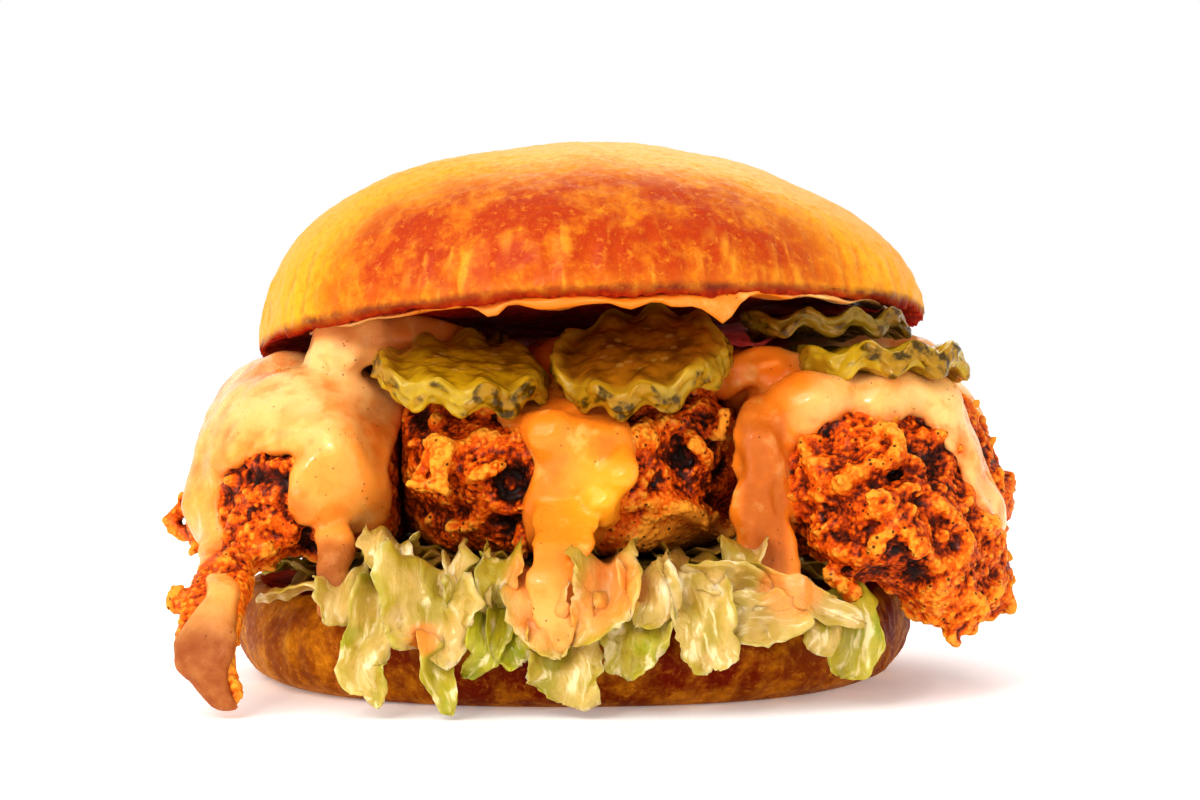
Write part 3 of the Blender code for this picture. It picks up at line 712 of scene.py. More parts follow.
class Rule:
    """One Geometry Nodes tree with named inputs, built a node at a time."""

    def __init__(self, name):
        self.tree = bpy.data.node_groups.new(name, "GeometryNodeTree")
        self.sockets = {}
        self.tree.interface.new_socket("Geometry", in_out="INPUT", socket_type="NodeSocketGeometry")
        self.tree.interface.new_socket("Geometry", in_out="OUTPUT", socket_type="NodeSocketGeometry")
        self.start = self.tree.nodes.new("NodeGroupInput")
        self.end = self.tree.nodes.new("NodeGroupOutput")

    def input(self, name, kind):
        socket = self.tree.interface.new_socket(name, in_out="INPUT", socket_type=f"NodeSocket{kind}")
        self.sockets[name] = socket.identifier
        return self.start.outputs[name]

    def add(self, kind, settings=None, **plugs):
        made = self.tree.nodes.new(kind)
        for key, value in (settings or {}).items():
            setattr(made, key, value)
        for key, value in plugs.items():
            self.plug(made.inputs[key.replace("_", " ")], value)
        return made

    def plug(self, socket, value):
        if isinstance(value, bpy.types.NodeSocket):
            self.tree.links.new(value, socket)
        else:
            socket.default_value = value

    def use(self, thing, **values):
        """Runs the tree on a thing and turns the result into a plain mesh."""
        step = thing.modifiers.new(self.tree.name, "NODES")
        step.node_group = self.tree
        for name, value in values.items():
            step[self.sockets[name]] = value
        return baked(thing)


def random_number(rule, low, high, seed, vector=False):
    """A random number, or a random direction, for each point."""
    made = rule.add("FunctionNodeRandomValue", {"data_type": "FLOAT_VECTOR" if vector else "FLOAT"})
    first = 0 if vector else 2
    rule.plug(made.inputs[first], low)
    rule.plug(made.inputs[first + 1], high)
    rule.plug(made.inputs["Seed"], seed)
    return made.outputs[0 if vector else 1]


def scatter_rule():
    """Scatters shapes from a collection over a surface, more of them small than large."""
    rule = Rule("scatter_over")
    shapes = rule.input("Shapes", "Collection")
    spacing = rule.input("Spacing", "Float")
    density = rule.input("Density", "Float")
    smallest = rule.input("Smallest", "Float")
    largest = rule.input("Largest", "Float")
    tilt = rule.input("Tilt", "Float")
    seed = rule.input("Seed", "Int")
    keep = rule.input("Keep surface", "Bool")
    material = rule.input("Material", "Material")
    room = rule.add("GeometryNodeInputNamedAttribute", {"data_type": "FLOAT"}, Name="room")
    spread = rule.add("GeometryNodeDistributePointsOnFaces", {"distribute_method": "POISSON"},
                      Mesh=rule.start.outputs["Geometry"], Distance_Min=spacing,
                      Density_Max=density, Density_Factor=room.outputs[0], Seed=seed)
    picked = rule.add("GeometryNodeCollectionInfo", Collection=shapes, Separate_Children=True,
                      Reset_Children=True)
    chance = random_number(rule, 0.0, 1.0, seed)
    power = rule.add("ShaderNodeMath", {"operation": "POWER"})
    rule.plug(power.inputs[0], chance)
    rule.plug(power.inputs[1], 1.8)
    size = rule.add("ShaderNodeMapRange", Value=power.outputs[0])
    rule.plug(size.inputs["To Min"], smallest)
    rule.plug(size.inputs["To Max"], largest)
    lean = random_number(rule, (-1.0, -1.0, -1.0), (1.0, 1.0, 1.0), seed, vector=True)
    reach = rule.add("ShaderNodeCombineXYZ", X=tilt, Y=tilt, Z=math.pi)
    turn = rule.add("ShaderNodeVectorMath", {"operation": "MULTIPLY"})
    rule.plug(turn.inputs[0], lean)
    rule.plug(turn.inputs[1], reach.outputs[0])
    turned = rule.add("FunctionNodeRotateRotation", {"rotation_space": "LOCAL"},
                      Rotation=spread.outputs["Rotation"], Rotate_By=turn.outputs[0])
    placed = rule.add("GeometryNodeInstanceOnPoints", Points=spread.outputs["Points"],
                      Instance=picked.outputs[0], Pick_Instance=True, Rotation=turned.outputs[0],
                      Scale=size.outputs["Result"])
    switch = rule.add("GeometryNodeSwitch")
    switch.input_type = "GEOMETRY"
    rule.plug(switch.inputs["Switch"], keep)
    rule.plug(switch.inputs["True"], rule.start.outputs["Geometry"])
    both = rule.add("GeometryNodeJoinGeometry")
    rule.tree.links.new(switch.outputs[0], both.inputs[0])
    rule.tree.links.new(placed.outputs[0], both.inputs[0])
    real = rule.add("GeometryNodeRealizeInstances", Geometry=both.outputs[0])
    painted = rule.add("GeometryNodeSetMaterial", Geometry=real.outputs[0], Material=material)
    rule.tree.links.new(painted.outputs[0], rule.end.inputs[0])
    return rule


scatter = scatter_rule()
print("scatter inputs:", list(scatter.sockets))


def scattered(thing, shapes, spacing, smallest, largest, tilt, seed, material):
    """Runs the scatter rule: spacing in mm, sizes as multiples of the shapes' own, tilt in radians."""
    return scatter.use(thing, **{
        "Shapes": shapes, "Spacing": spacing * MM, "Density": 5.0 / (spacing * MM) ** 2,
        "Smallest": smallest, "Largest": largest, "Tilt": tilt, "Seed": seed, "Keep surface": True,
        "Material": material})


# %% The nuggets that are scattered


def shape_collection(name, things):
    """A collection that only the scatter rule reads, kept out of the scene."""
    kept = bpy.data.collections.new(name)
    for thing in things:
        for home in list(thing.users_collection):
            home.objects.unlink(thing)
        kept.objects.link(thing)
    return kept


def nugget(number):
    """A crumb one millimetre in radius: every other one is a thin curled flake, the rest are knobs."""
    draw = random.Random(40 + number)
    flake = number % 2 == 1
    bm = bmesh.new()
    bmesh.ops.create_icosphere(bm, subdivisions=3, radius=1.0)
    thickness = draw.uniform(0.24, 0.34) if flake else draw.uniform(0.55, 0.8)
    stretch = Vector((draw.uniform(0.9, 1.4), draw.uniform(0.65, 1.0), thickness))
    bend = draw.uniform(0.5, 0.9) if flake else draw.uniform(0.0, 0.3)
    for vertex in bm.verts:
        knob = 1.0 + 0.38 * noise.noise(vertex.co * 1.5 + Vector((7.0 * number, 0.0, 0.0)))
        knob += 0.22 * noise.noise(vertex.co * 3.2 + Vector((0.0, 5.0 * number, 0.0)))
        spot = Vector(a * b for a, b in zip(vertex.co * knob, stretch))
        spot.z += bend * spot.x * spot.x
        vertex.co = spot * MM
    mesh = bpy.data.meshes.new(f"nugget_{number}")
    bm.to_mesh(mesh)
    bm.free()
    return bpy.data.objects.new(mesh.name, mesh)


def curl(number):
    """A rope of crust bent into a C, about one millimetre in radius."""
    draw = random.Random(70 + number)
    arc = draw.uniform(3.2, 5.0)
    rise = draw.uniform(0.1, 0.4)
    rings = []
    for i in range(19):
        at = i / 18.0
        turn = arc * at
        out = Vector((math.cos(turn), math.sin(turn), 0.0))
        middle = out * (0.66 + 0.14 * noise.noise(Vector((turn, 3.0 * number, 1.0))))
        middle.z = rise * math.sin(2.4 * turn + number)
        tube = 0.27 + 0.13 * noise.noise(Vector((2.2 * turn, 5.0 * number, 0.0)))
        tube *= math.sqrt(max(0.0, 1.0 - (2.0 * at - 1.0) ** 6))
        turns = [2.0 * math.pi * k / 10.0 for k in range(10)]
        ring = [middle + out * (tube * math.cos(t)) + Vector((0.0, 0.0, 1.35 * tube * math.sin(t)))
                for t in turns]
        rings.append([middle] if i in (0, 18) else ring)
    return ring_surface(f"curl_{number}", rings)


KNOBS, CURLS = 6, 6
knobs = shape_collection("knobs", [nugget(number) for number in range(KNOBS)])
curls = shape_collection("curls", [curl(number) for number in range(CURLS)])

# %% [markdown]
# The crust is painted dark in the valleys as painted shade, orange over most of its surface, and
# golden on the tips, partly as painted highlight. How far each point stands out from its smoothed
# surroundings is measured twice, for small and for large forms, and the colour follows that. A third
# number is painted shade that darkens the forms that lie back in the photographed crust, and painted
# light that lightens a few places on the front that lie in shadow.

# %% The crust's finish


def crust_finish():
    """Fried crust; reads tip, knob and hollow from the mesh."""
    finish = Finish("fried_crust", 0.5)
    grit = finish.grain(0.55, 4.0, 0.7)
    patch = finish.grain(6.0, 3.0, 0.6)
    broad = finish.grain(13.0, 2.0)
    grains = finish.range(finish.cells(1.15), 0.6, 0.1)
    level = finish.times(finish.attribute("tip"), 0.34)
    for part in (finish.times(finish.attribute("knob"), 0.52),
                 finish.range(grit, 0.25, 0.75, -0.2, 0.2),
                 finish.range(grains, 0.0, 1.0, -0.14, 0.18),
                 finish.range(patch, 0.3, 0.7, -0.12, 0.16),
                 finish.range(broad, 0.35, 0.65, -0.14, 0.10)):
        level = finish.math("ADD", level, part)
    # Hollow subtracts painted shade from the forms that lie back, and adds painted light where it is below 0.
    level = finish.math("SUBTRACT", level, finish.times(finish.attribute("hollow"), 0.38))
    # The ramp paints shade dark brown into the low places and a golden highlight onto the tips.
    colour = finish.ramp(finish.range(level, -1.0, 1.0), [
        (0.04, rgb(34, 10, 2)), (0.20, rgb(92, 30, 4)), (0.33, rgb(160, 58, 3)),
        (0.46, rgb(214, 88, 3)), (0.62, rgb(236, 116, 8)), (0.9, rgb(252, 172, 56))])
    red = finish.range(finish.grain(3.2, 3.0), 0.55, 0.8, 0.0, 0.35)
    colour = finish.mix(red, colour, rgb(198, 62, 4))
    pepper = finish.range(finish.cells(1.3), 0.24, 0.16, 0.0, 0.85)
    scarce = finish.range(finish.grain(3.0), 0.46, 0.54)
    colour = finish.mix(finish.times(pepper, scarce), colour, rgb(34, 12, 4))
    finish.set("Base Color", colour)
    finish.set("Roughness", finish.range(patch, 0.3, 0.7, 0.36, 0.6))
    finish.set("Specular IOR Level", 0.16)
    finish.set("Coat Weight", finish.range(finish.grain(2.4, 2.0), 0.5, 0.68, 0.0, 0.45))
    finish.set("Coat Roughness", 0.18)
    finish.relief((grit, 0.26), (grains, 0.3))
    return finish.material


fried_crust = crust_finish()

# %% A strand along a curve, for ropes of crust and for runs of sauce


def strand(name, spots, widths, depths, side=(1.0, 0.0, 0.0), steps=60, segments=20,
           wobble=0.28):
    """A round-ended strand along a curve: widths across it and depths through it, in mm."""
    across = Vector(side)
    rings = []
    spots = [Vector(spot) + SHIFT for spot in spots]
    for i in range(steps + 1):
        at = i / steps
        middle = along(spots, at)
        ahead = (along(spots, at + 0.01) - along(spots, at - 0.01)).normalized()
        over = (across - ahead * across.dot(ahead)).normalized()
        out = over.cross(ahead)
        end = math.sqrt(max(0.0, 1.0 - (2.0 * at - 1.0) ** 8))
        a, b = 0.5 * between(widths, at) * end, 0.5 * between(depths, at) * end
        if i in (0, steps):
            rings.append([middle])
            continue
        ring = []
        for k in range(segments):
            turn = 2.0 * math.pi * k / segments
            spot = over * (a * math.cos(turn)) + out * (b * math.sin(turn))
            ring.append(middle + spot * (1.0 + wobble * noise.noise((middle + 2.0 * spot) / 4.5)))
        rings.append(ring)
    return ring_surface(name, rings)


# %% The places where a crust has room to grow
SEAMS = [-31.0 + SHIFT.x, 22.0 + SHIFT.x]


def room_for_crust(points, normals, pours):
    """1 on the open faces of a piece; less where it is pressed, drowned in sauce, or a thin flap."""
    seam = np.min([np.abs(points[:, 0] - x) for x in SEAMS], axis=0)
    off_axis = np.hypot(points[:, 0] - HEEL_CENTRE.x, points[:, 1] - HEEL_CENTRE.y)
    pressed = (seam < 1.6) & (np.abs(normals[:, 0]) > 0.6)
    under = (normals[:, 2] < -0.5) & (off_axis < 50.0)
    top = (normals[:, 2] > 0.75) & (off_axis < 42.0)
    flap = (points[:, 0] < -49.0) & (points[:, 1] < -42.0) & (points[:, 2] < 24.0)
    drowned = 1.0 - 0.99 * smoothstep(0.2, 2.4, covered(points, pours))
    return np.where(pressed | under | top | flap, 0.03, drowned)


# Pushes that give a piece the forms of the photographed one: middle, radius, and how far, in mm
LEFT_FORMS = [
    ((-44, -40, 24.5), 3.6, (0, 5, 0)),
    ((-48.5, -40, 34.5), 3.4, (0, 3.5, 0)),
    ((-47, -40, 19.5), 4, (0, -2.5, 0)),
]
MIDDLE_FORMS = [
    ((-23, -44, 38), 5, (0, -4, 0)),
    ((-12.8, -47, 33.4), 3.6, (0, 4.6, 0)),
    ((-14, -46, 26), 3.2, (0, 6, 0)),
    ((-28, -46, 41.5), 3.4, (0, 5, 0)),
    ((13, -47, 36), 5.6, (0, 7.5, 0)),
    ((18, -46, 30), 3, (0, 5, 0)),
    ((9, -46, 26), 8, (0, -3.5, 0)),
    ((18.1, -45, 40.6), 3.4, (0, -4.5, 0.6)),
]
RIGHT_FORMS = [
    ((44, -45, 26), 11, (0, -2, 0)),
    ((43.4, -46, 34.2), 3, (0, 4, 0)),
    ((49, -44, 36.5), 4.6, (0, 4.2, 0)),
    ((46.6, -46, 20.6), 2.2, (0, 4.5, 0)),
    ((64, -24, 42), 5, (3, -1, 1)),
    ((52, -38, 12), 8, (1, 0, -1.5)),
]

# Ropes and shelves of crust on the front: their course in x and z, and their width, in mm
LEFT_ROPES = [
    ([(-56.8, 20.7), (-54.5, 23), (-52.2, 24.1), (-49.5, 22.6), (-46.9, 20.3)], 3.4),
    ([(-53, 26.2), (-50.7, 27), (-48, 27.4), (-45.6, 25.2)], 2.4),
    ([(-46.4, 30), (-44.6, 31.8)], 1.5),
    ([(-43, 24), (-42.4, 27.2), (-41.6, 28)], 1.6),
    ([(-47.2, 19.2), (-44.6, 19.5), (-41.6, 20.6)], 2.2),
    ([(-54.8, 29.4), (-52, 31.6), (-50, 31)], 2.2),
]
MIDDLE_ROPES = [
    ([(-30.4, 32.9), (-27.7, 34.4), (-23.9, 33.9), (-20.1, 33.7), (-16.6, 36.7)], 2.8),
    ([(-27.6, 37), (-24.6, 37.8), (-21.8, 37.4)], 6.4),
    ([(-30.2, 32), (-26.2, 31), (-22, 30.6), (-18.2, 31.6), (-16.3, 34.8)], 2.2),
    ([(-27, 30.2), (-25.4, 28.2), (-24.7, 29.3)], 1.7),
    ([(-22, 25.6), (-18.2, 27.2), (-17.4, 29.5)], 2),
    ([(-16.6, 31.2), (-14.3, 29), (-11.6, 30.2)], 1.9),
    ([(5.4, 41), (7.2, 39.8), (7.9, 37.9)], 3),
    ([(8.6, 36.4), (9.7, 33.8), (9.4, 30.5)], 2.4),
    ([(13.9, 40.3), (14.5, 37.7), (15.8, 35.7)], 1.2),
    ([(5, 26.4), (8.6, 28.4), (12.3, 29.4), (16.2, 27.1), (18, 24.9), (21.4, 25.1)], 3),
    ([(16.4, 42), (18.6, 42.6), (20.2, 40.4), (18.6, 38.4), (16.6, 39)], 2.3),
    ([(-28.4, 27), (-26, 25.6), (-23.6, 26.2)], 2),
]
RIGHT_ROPES = [
    ([(43.1, 31.5), (44.8, 32.6), (47.1, 32.6), (49.5, 30.9), (51.9, 28.9), (53.6, 26.8),
      (54.8, 24.1), (54.2, 22.1), (52.4, 21.2), (50.4, 22.1)], 2.8),
    ([(46.2, 30.4), (45.9, 27.7), (47.1, 24.7), (48.9, 23)], 2.4),
    ([(39.4, 28.6), (41.2, 29.8), (43, 28.9), (44.2, 26.5), (44.5, 24.7)], 2.5),
    ([(30.8, 22.1), (33.5, 23.3), (36.8, 22.7), (39.7, 21.5)], 2.8),
    ([(33.8, 36), (35.3, 33.6), (36.8, 32.4)], 2.6),
    ([(37.7, 34.2), (39.7, 35.4), (41.4, 33.8), (42, 32.6)], 2.4),
    ([(39.1, 38.3), (41.2, 38.6), (43, 37.4), (42.8, 36.1)], 2.6),
    ([(30, 37.2), (31.7, 36.6), (32.9, 32.4), (32.3, 30.4)], 2.8),
    ([(27.9, 27.7), (30, 26.5), (32.3, 25.3), (35.9, 27.7)], 2.4),
    ([(37.1, 14.1), (39.4, 16.8), (43.6, 19.7), (46.6, 18.1), (46.3, 16.8)], 3),
    ([(47.7, 15.2), (50.7, 17.4), (53.6, 19.3)], 2.8),
    ([(55.4, 27.7), (57.8, 26.8), (60.2, 24.7), (61, 22.1)], 2.8),
    ([(46.4, 39), (48.4, 38.4), (50.4, 36.4)], 2),
    ([(45.4, 35.6), (46.4, 33.8), (48.8, 33.8)], 2),
    ([(33, 18.4), (35.4, 19), (37.6, 18.4)], 2.2),
    ([(55, 33), (56.4, 30.8), (55.6, 29)], 2.2),
    ([(42, 14), (44.6, 13.2), (47.4, 12.2)], 2.4),
    ([(54.4, 16.6), (57, 15.6), (58.2, 12.8)], 2.6),
]


def laid_ropes(piece, ropes):
    """Ropes of crust that lie half sunk on the front of a piece and follow its surface."""
    skin = BVHTree.FromObject(piece, bpy.context.evaluated_depsgraph_get())
    made = []
    for number, (course, width) in enumerate(ropes):
        course = [Vector((x, 0.0, z)) for x, z in course]
        spots = []
        for step in range(17):
            spot = along(course, step / 16.0)
            start = (Vector((spot.x, -150.0, spot.z)) + SHIFT) * MM
            hit = skin.ray_cast(start, Vector((0.0, 1.0, 0.0)))[0]
            if hit is not None:
                spots.append(hit / MM - SHIFT)
        if len(spots) > 12:
            depths = [spot.y for spot in spots]
            for i, spot in enumerate(spots):
                near = depths[max(0, i - 2):i + 3]
                spot.y = min(depths[i], sum(near) / len(near)) - 0.22 * width
            made.append(strand(f"{piece.name}_rope_{number}", spots, [0.75 * width, width, 0.9 * width],
                               [0.9 * width, 1.1 * width, 0.9 * width], side=(0.3, 0.0, 1.0), steps=32,
                               segments=12, wobble=0.6))
    return made


def winding(points, size, seed):
    """Winding ropes about half a size wide: the line where a smooth noise changes sign, made round."""
    warp = np.stack([waves(points, 1.7 * size, seed + 20.0 + k) for k in range(3)], axis=1)
    line = waves(points + 0.6 * size * warp, size, seed) / 0.15
    gate = smoothstep(-0.10, 0.12, waves(points, 2.0 * size, seed + 5.0))
    return np.sqrt(np.clip(1.0 - line * line, 0.0, 1.0)) * gate


def pushed(points, forms):
    """Moves the points near each form's middle by its push, less and less further away."""
    for middle, radius, push in forms:
        away = points - (np.array(middle) + np.array(SHIFT))
        near = np.exp(-(away**2).sum(axis=1) / (2.0 * (0.6 * radius) ** 2))
        points = points + near[:, None] * np.array(push)
    return points


# Painted light on places of the front that lie in shadow: x, z and a radius, in mm, and how much
LIGHTER = [(9, 25, 5.6, 1.5), (16, 25, 5, 1.5), (18.1, 40.6, 3.4, 0.7), (54, 15, 6, 0.6),
           (-22.5, 37, 4, 0.6)]


def hollowed(points, forms):
    """Painted shade: 1 in the middle of the forms that are pushed in, and below 0 where painted light lifts
    the front.
    """
    deep = np.zeros(len(points))
    for middle, radius, push in forms:
        away = points - (np.array(middle) + np.array(SHIFT))
        flat = (away[:, 0] ** 2 + away[:, 2] ** 2) / (2.0 * (0.62 * radius) ** 2)
        deep = np.maximum(deep, np.exp(-flat) * (push[1] > 3.0) * (points[:, 1] < 0.0))
    for x, z, radius, amount in LIGHTER:
        away = (points[:, 0] - SHIFT.x - x) ** 2 + (points[:, 2] - SHIFT.z - z) ** 2
        deep = deep - amount * np.exp(-away / (2.0 * (0.7 * radius) ** 2)) * (points[:, 1] < -20.0)
    return deep


# Rounds of crumbs: which ones, spacing, smallest and largest radius, tilt, voxel of the next skin,
# and how patchy the round is: 0 is everywhere, and 1 leaves half of the surface bare
CRUST_ROUNDS = [(curls, 6.4, 2.2, 5.0, 0.55, 0.62, 0.0), (knobs, 3.6, 0.5, 1.7, 3.1, 0.55, 0.9),
                (knobs, 1.8, 0.28, 0.62, 3.1, 0.5, 1.0)]


def patchy(points, size, amount, seed):
    """1 where a round of crumbs may fall, and less in broad bare patches between."""
    return 1.0 - amount * smoothstep(0.04, -0.10, waves(points, size, seed))


SCULPT_VOXEL = 0.8
ROPE_VOXEL = 0.6


def crusted(node, name, forms, ropes, pours, seed):
    """A piece of chicken: its solid's shape, sculpted, then crusted in rounds of nuggets."""
    piece = voxel_skin(solid_copy(node, name), SCULPT_VOXEL)
    points = relaxed(piece, points_of(piece), 10)
    set_points(piece, points)
    normals = relaxed(piece, normals_of(piece), 4)
    rough = 1.0 * lumps(points, 8.0, seed) + 0.9 * waves(points, 4.0, seed)
    rough = rough + 1.5 * winding(points, 8.5, seed) + 0.9 * winding(points, 4.6, seed + 2.0) - 0.5
    room = room_for_crust(points, normals, pours)
    points = pushed(points + normals * ((rough - 1.2) * room)[:, None], forms)
    set_points(piece, points)
    piece = joined([piece, *laid_ropes(piece, ropes)], name)
    voxel_skin(piece, ROPE_VOXEL)
    for number, (shapes, spacing, smallest, largest, tilt, voxel, bare) in enumerate(CRUST_ROUNDS):
        points = points_of(piece)
        room = room_for_crust(points, normals_of(piece), pours)
        store(piece, "room", room * patchy(points, 7.0 - 2.0 * number, bare, seed + number))
        scattered(piece, shapes, spacing, smallest, largest, tilt, int(seed) + number, fried_crust)
        voxel_skin(piece, voxel)
    largest_body(piece)
    points = points_of(piece)
    normals = normals_of(piece)
    coarse = 0.35 + 0.65 * patchy(points, 5.0, 1.0, seed + 7.0)
    grit = 0.45 * np.abs(waves(points, 1.6, seed)) + 0.4 * waves(points, 0.9, seed + 3.0)
    points = points + normals * (1.15 * grit * coarse)[:, None]
    set_points(piece, points)
    normals = normals_of(piece)
    small = ((points - relaxed(piece, points, 6)) * normals).sum(axis=1)
    large = ((points - relaxed(piece, points, 70)) * normals).sum(axis=1)
    # Tip and knob measure relief, from which the finish paints shade in the low places and highlight on the
    # tips.
    store(piece, "tip", np.clip(small / 0.28, -1.0, 1.0))
    store(piece, "knob", np.clip(large / 1.3, -1.0, 1.0))
    # Hollow holds painted shade for the forms pushed in, and painted light for places of the front in shadow.
    store(piece, "hollow", hollowed(points, forms))
    return piece


crusts = {}
for side, forms, ropes, seed in (("left", LEFT_FORMS, LEFT_ROPES, 11.0),
                                 ("middle", MIDDLE_FORMS, MIDDLE_ROPES, 23.0),
                                 ("right", RIGHT_FORMS, RIGHT_ROPES, 37.0)):
    node = f"chicken_{side}"
    crusts[side] = crusted(node, f"{node}_crusted", forms, ropes, POURS[side], seed)
    finished(crusts[side], fried_crust, "chicken_breading", node)

# %% [markdown]
# ## The sauce
# A thick sauce poured from a spoon fills the valleys of the crust, lies smooth over the knobs, ends
# in rounded lips and runs down where there is most of it. So its skin starts as a relaxed copy of the
# crust itself, and is lifted wherever one of the planned runs covers it. What hangs free is a strand
# that is melted into the rest.

# %% The sauce on one piece of chicken
LIP = 1.7  # mm over which the sauce rises from its edge to its full thickness
FILM_VOXEL = 0.8
FILM_WALL = 1.9
SAUCE_VOXEL = 0.45


def stained(away):
    """How browned the sauce is, and where it is darkened as painted shade, for points measured from the
    photograph's middle line.

    The tip of the flap and the end of the finger are browner than the rest. The column in the right
    valley and the fold in the shadow of the left pickle are darkened as painted shade.
    """
    x, y, z = away.T
    flap = 0.9 * smoothstep(-50.0, -56.0, y) * smoothstep(19.0, 10.0, z) * smoothstep(-46.0, -50.0, x)
    finger = 0.75 * smoothstep(-35.0, -36.5, x) * smoothstep(-45.5, -44.0, x) * smoothstep(26.5, 23.0, z)
    # Painted shade on the recessed column in the right valley.
    valley = 0.55 * smoothstep(20.0, 22.0, x) * smoothstep(29.0, 27.0, x)
    valley = valley * smoothstep(46.0, 41.0, z) * (y < -30.0)
    # Painted shade on the fold under the left pickle.
    shadow = 0.3 * smoothstep(-43.0, -38.0, x) * smoothstep(52.6, 54.0, z) * (x < -15.0)
    return np.max([flap, finger, valley, shadow], axis=0)


def poured(side, seed):
    """The sauce on a crust: a relaxed copy of it, lifted where a run covers it, and melted together."""
    name = f"sauce_{side}_poured"
    film = bpy.data.objects.new(name + "_film", crusts[side].data.copy())
    bpy.context.scene.collection.objects.link(film)
    voxel_skin(film, FILM_VOXEL)
    points = relaxed(film, points_of(film), 22)
    depth = covered(points, POURS[side])
    share = np.clip(depth / LIP, 0.0, 1.0)
    thick = 0.4 + 0.9 * np.sqrt(share * (2.0 - share))
    thick += (0.8 * waves(points, 13.0, seed) + 1.1 * waves(points, 5.5, seed + 4.0)) * share
    for middle, radius, height in LOBES[side]:
        away = np.linalg.norm(points - (np.array(middle) + np.array(SHIFT)), axis=1)
        thick += height * (1.0 - smoothstep(0.35 * radius, radius, away)) * share
    set_points(film, points)
    normals = relaxed(film, normals_of(film), 8)
    lift = np.where(depth > 0.0, thick, 0.5 + 1.6 * depth)
    set_points(film, points + normals * lift[:, None])
    bm = bmesh.new()
    bm.from_mesh(film.data)
    bm.verts.ensure_lookup_table()
    bare = [vertex for vertex, inside in zip(bm.verts, depth) if inside < -0.9]
    bmesh.ops.delete(bm, geom=bare, context="VERTS")
    bm.to_mesh(film.data)
    bm.free()
    wall = film.modifiers.new("Solidify", "SOLIDIFY")
    wall.thickness = FILM_WALL * MM
    wall.offset = -1.0
    baked(film)
    strands = []
    for label, across, wobble, rows in STRANDS[side]:
        spots = [row[:3] for row in rows]
        widths = [row[3] for row in rows]
        depths = [row[4] for row in rows]
        strands.append(strand(label, spots, widths, depths, side=across, wobble=wobble))
    sauce = voxel_skin(joined([film, *strands], name), SAUCE_VOXEL)
    largest_body(sauce)
    points = relaxed(sauce, points_of(sauce), 5)
    ripple = 0.3 * waves(points, 6.0, seed) + 0.06 * waves(points, 2.2, seed + 2.0)
    set_points(sauce, points + normals_of(sauce) * ripple[:, None])
    skin = BVHTree.FromObject(crusts[side], bpy.context.evaluated_depsgraph_get())
    over = np.array([skin.find_nearest(Vector(point) * MM)[3] for point in points]) / MM
    store(sauce, "thin", 1.0 - smoothstep(0.3, 1.3, over))
    away = points - np.array(SHIFT)
    yolk = np.exp(-((away[:, 0] - 0.8) ** 2 + (away[:, 2] - 31.8) ** 2) / 34.0) * (away[:, 1] < -40.0)
    store(sauce, "yolk", yolk)
    store(sauce, "stain", stained(away))
    return finished(sauce, spiced_sauce, "sauce_cream", f"sauce_{side}")


# %% [markdown]
# The sauce is mayonnaise with chilli oil and ground spices: opaque enough to hide the crust, yet
# light goes a little way into it, which softens its shadows and makes thin edges glow. It is wet, so
# it has small sharp highlights, and specks of spice show in it. Where it lies thin, the crust colours
# it; the run in the middle is yellow as yolk; and where it has browned it is dull and gritty.
# The column in the right valley and the fold under the left pickle are darkened as painted shade.

# %% The sauce's finish


def sauce_finish():
    """Spiced sauce; reads thin, yolk and stain from the mesh, and places in metres from X and Z."""
    finish = Finish("spiced_sauce", 0.16)
    cloud = finish.grain(11.0, 2.0)
    across = finish.axis("X")
    height = finish.axis("Z")
    oily = finish.times(finish.range(across, -0.040, -0.022), finish.range(across, 0.036, 0.027))
    oily = finish.math("ADD", oily, finish.range(cloud, 0.42, 0.72, -0.1, 0.4), clamp=True)
    # Painted light: high up the sauce is paler, where light falls on its top, and lower down it is oranger,
    # partly as painted shade.
    low = finish.times(finish.range(height, 0.046, 0.036), finish.range(across, 0.052, 0.040))
    colour = finish.mix(low, rgb(250, 198, 128), rgb(246, 168, 74))
    colour = finish.mix(oily, colour, rgb(242, 144, 36))
    creamy = finish.range(height, 0.024, 0.015, 0.0, 0.75)
    colour = finish.mix(creamy, colour, rgb(248, 188, 108))
    swirl = finish.grain(4.2, 3.0, 0.6)
    colour = finish.mix(finish.range(swirl, 0.50, 0.70, 0.0, 0.5), colour, rgb(240, 142, 40))
    colour = finish.mix(finish.range(swirl, 0.46, 0.30, 0.0, 0.5), colour, rgb(252, 200, 122))
    colour = finish.mix(finish.attribute("yolk"), colour, rgb(252, 178, 38))
    thin = finish.times(finish.attribute("thin"), finish.range(swirl, 0.35, 0.6, 0.25, 0.75))
    colour = finish.mix(thin, colour, rgb(226, 122, 24))
    # Stain holds browned sauce, and painted shade in the right valley and under the left pickle.
    stain = finish.attribute("stain")
    brown = finish.times(stain, finish.range(swirl, 0.32, 0.6, 0.8, 1.0))
    colour = finish.mix(brown, colour, rgb(151, 66, 0))
    speck = finish.range(finish.cells(1.15), 0.16, 0.11)
    scarce = finish.range(finish.grain(2.6), 0.52, 0.60)
    colour = finish.mix(finish.times(finish.times(speck, scarce), 0.75), colour, rgb(120, 44, 12))
    finish.set("Base Color", colour)
    finish.set("Roughness", finish.math("ADD", finish.range(finish.grain(4.0), 0.3, 0.7, 0.2, 0.34),
                                        finish.times(brown, 0.3)))
    finish.set("Specular IOR Level", 0.3)
    finish.set("Coat Weight", finish.math("SUBTRACT", 0.25, finish.times(brown, 0.25)))
    finish.set("Coat Roughness", 0.06)
    finish.flesh(0.35, (1.0, 0.45, 0.2), 2.2)
    gritty = finish.times(stain, finish.grain(0.8, 4.0, 0.7))
    finish.relief((finish.grain(3.0, 1.0), 0.10), (finish.range(finish.cells(1.15), 0.18, 0.08), 0.03),
                  (gritty, 0.35))
    return finish.material


spiced_sauce = sauce_finish()

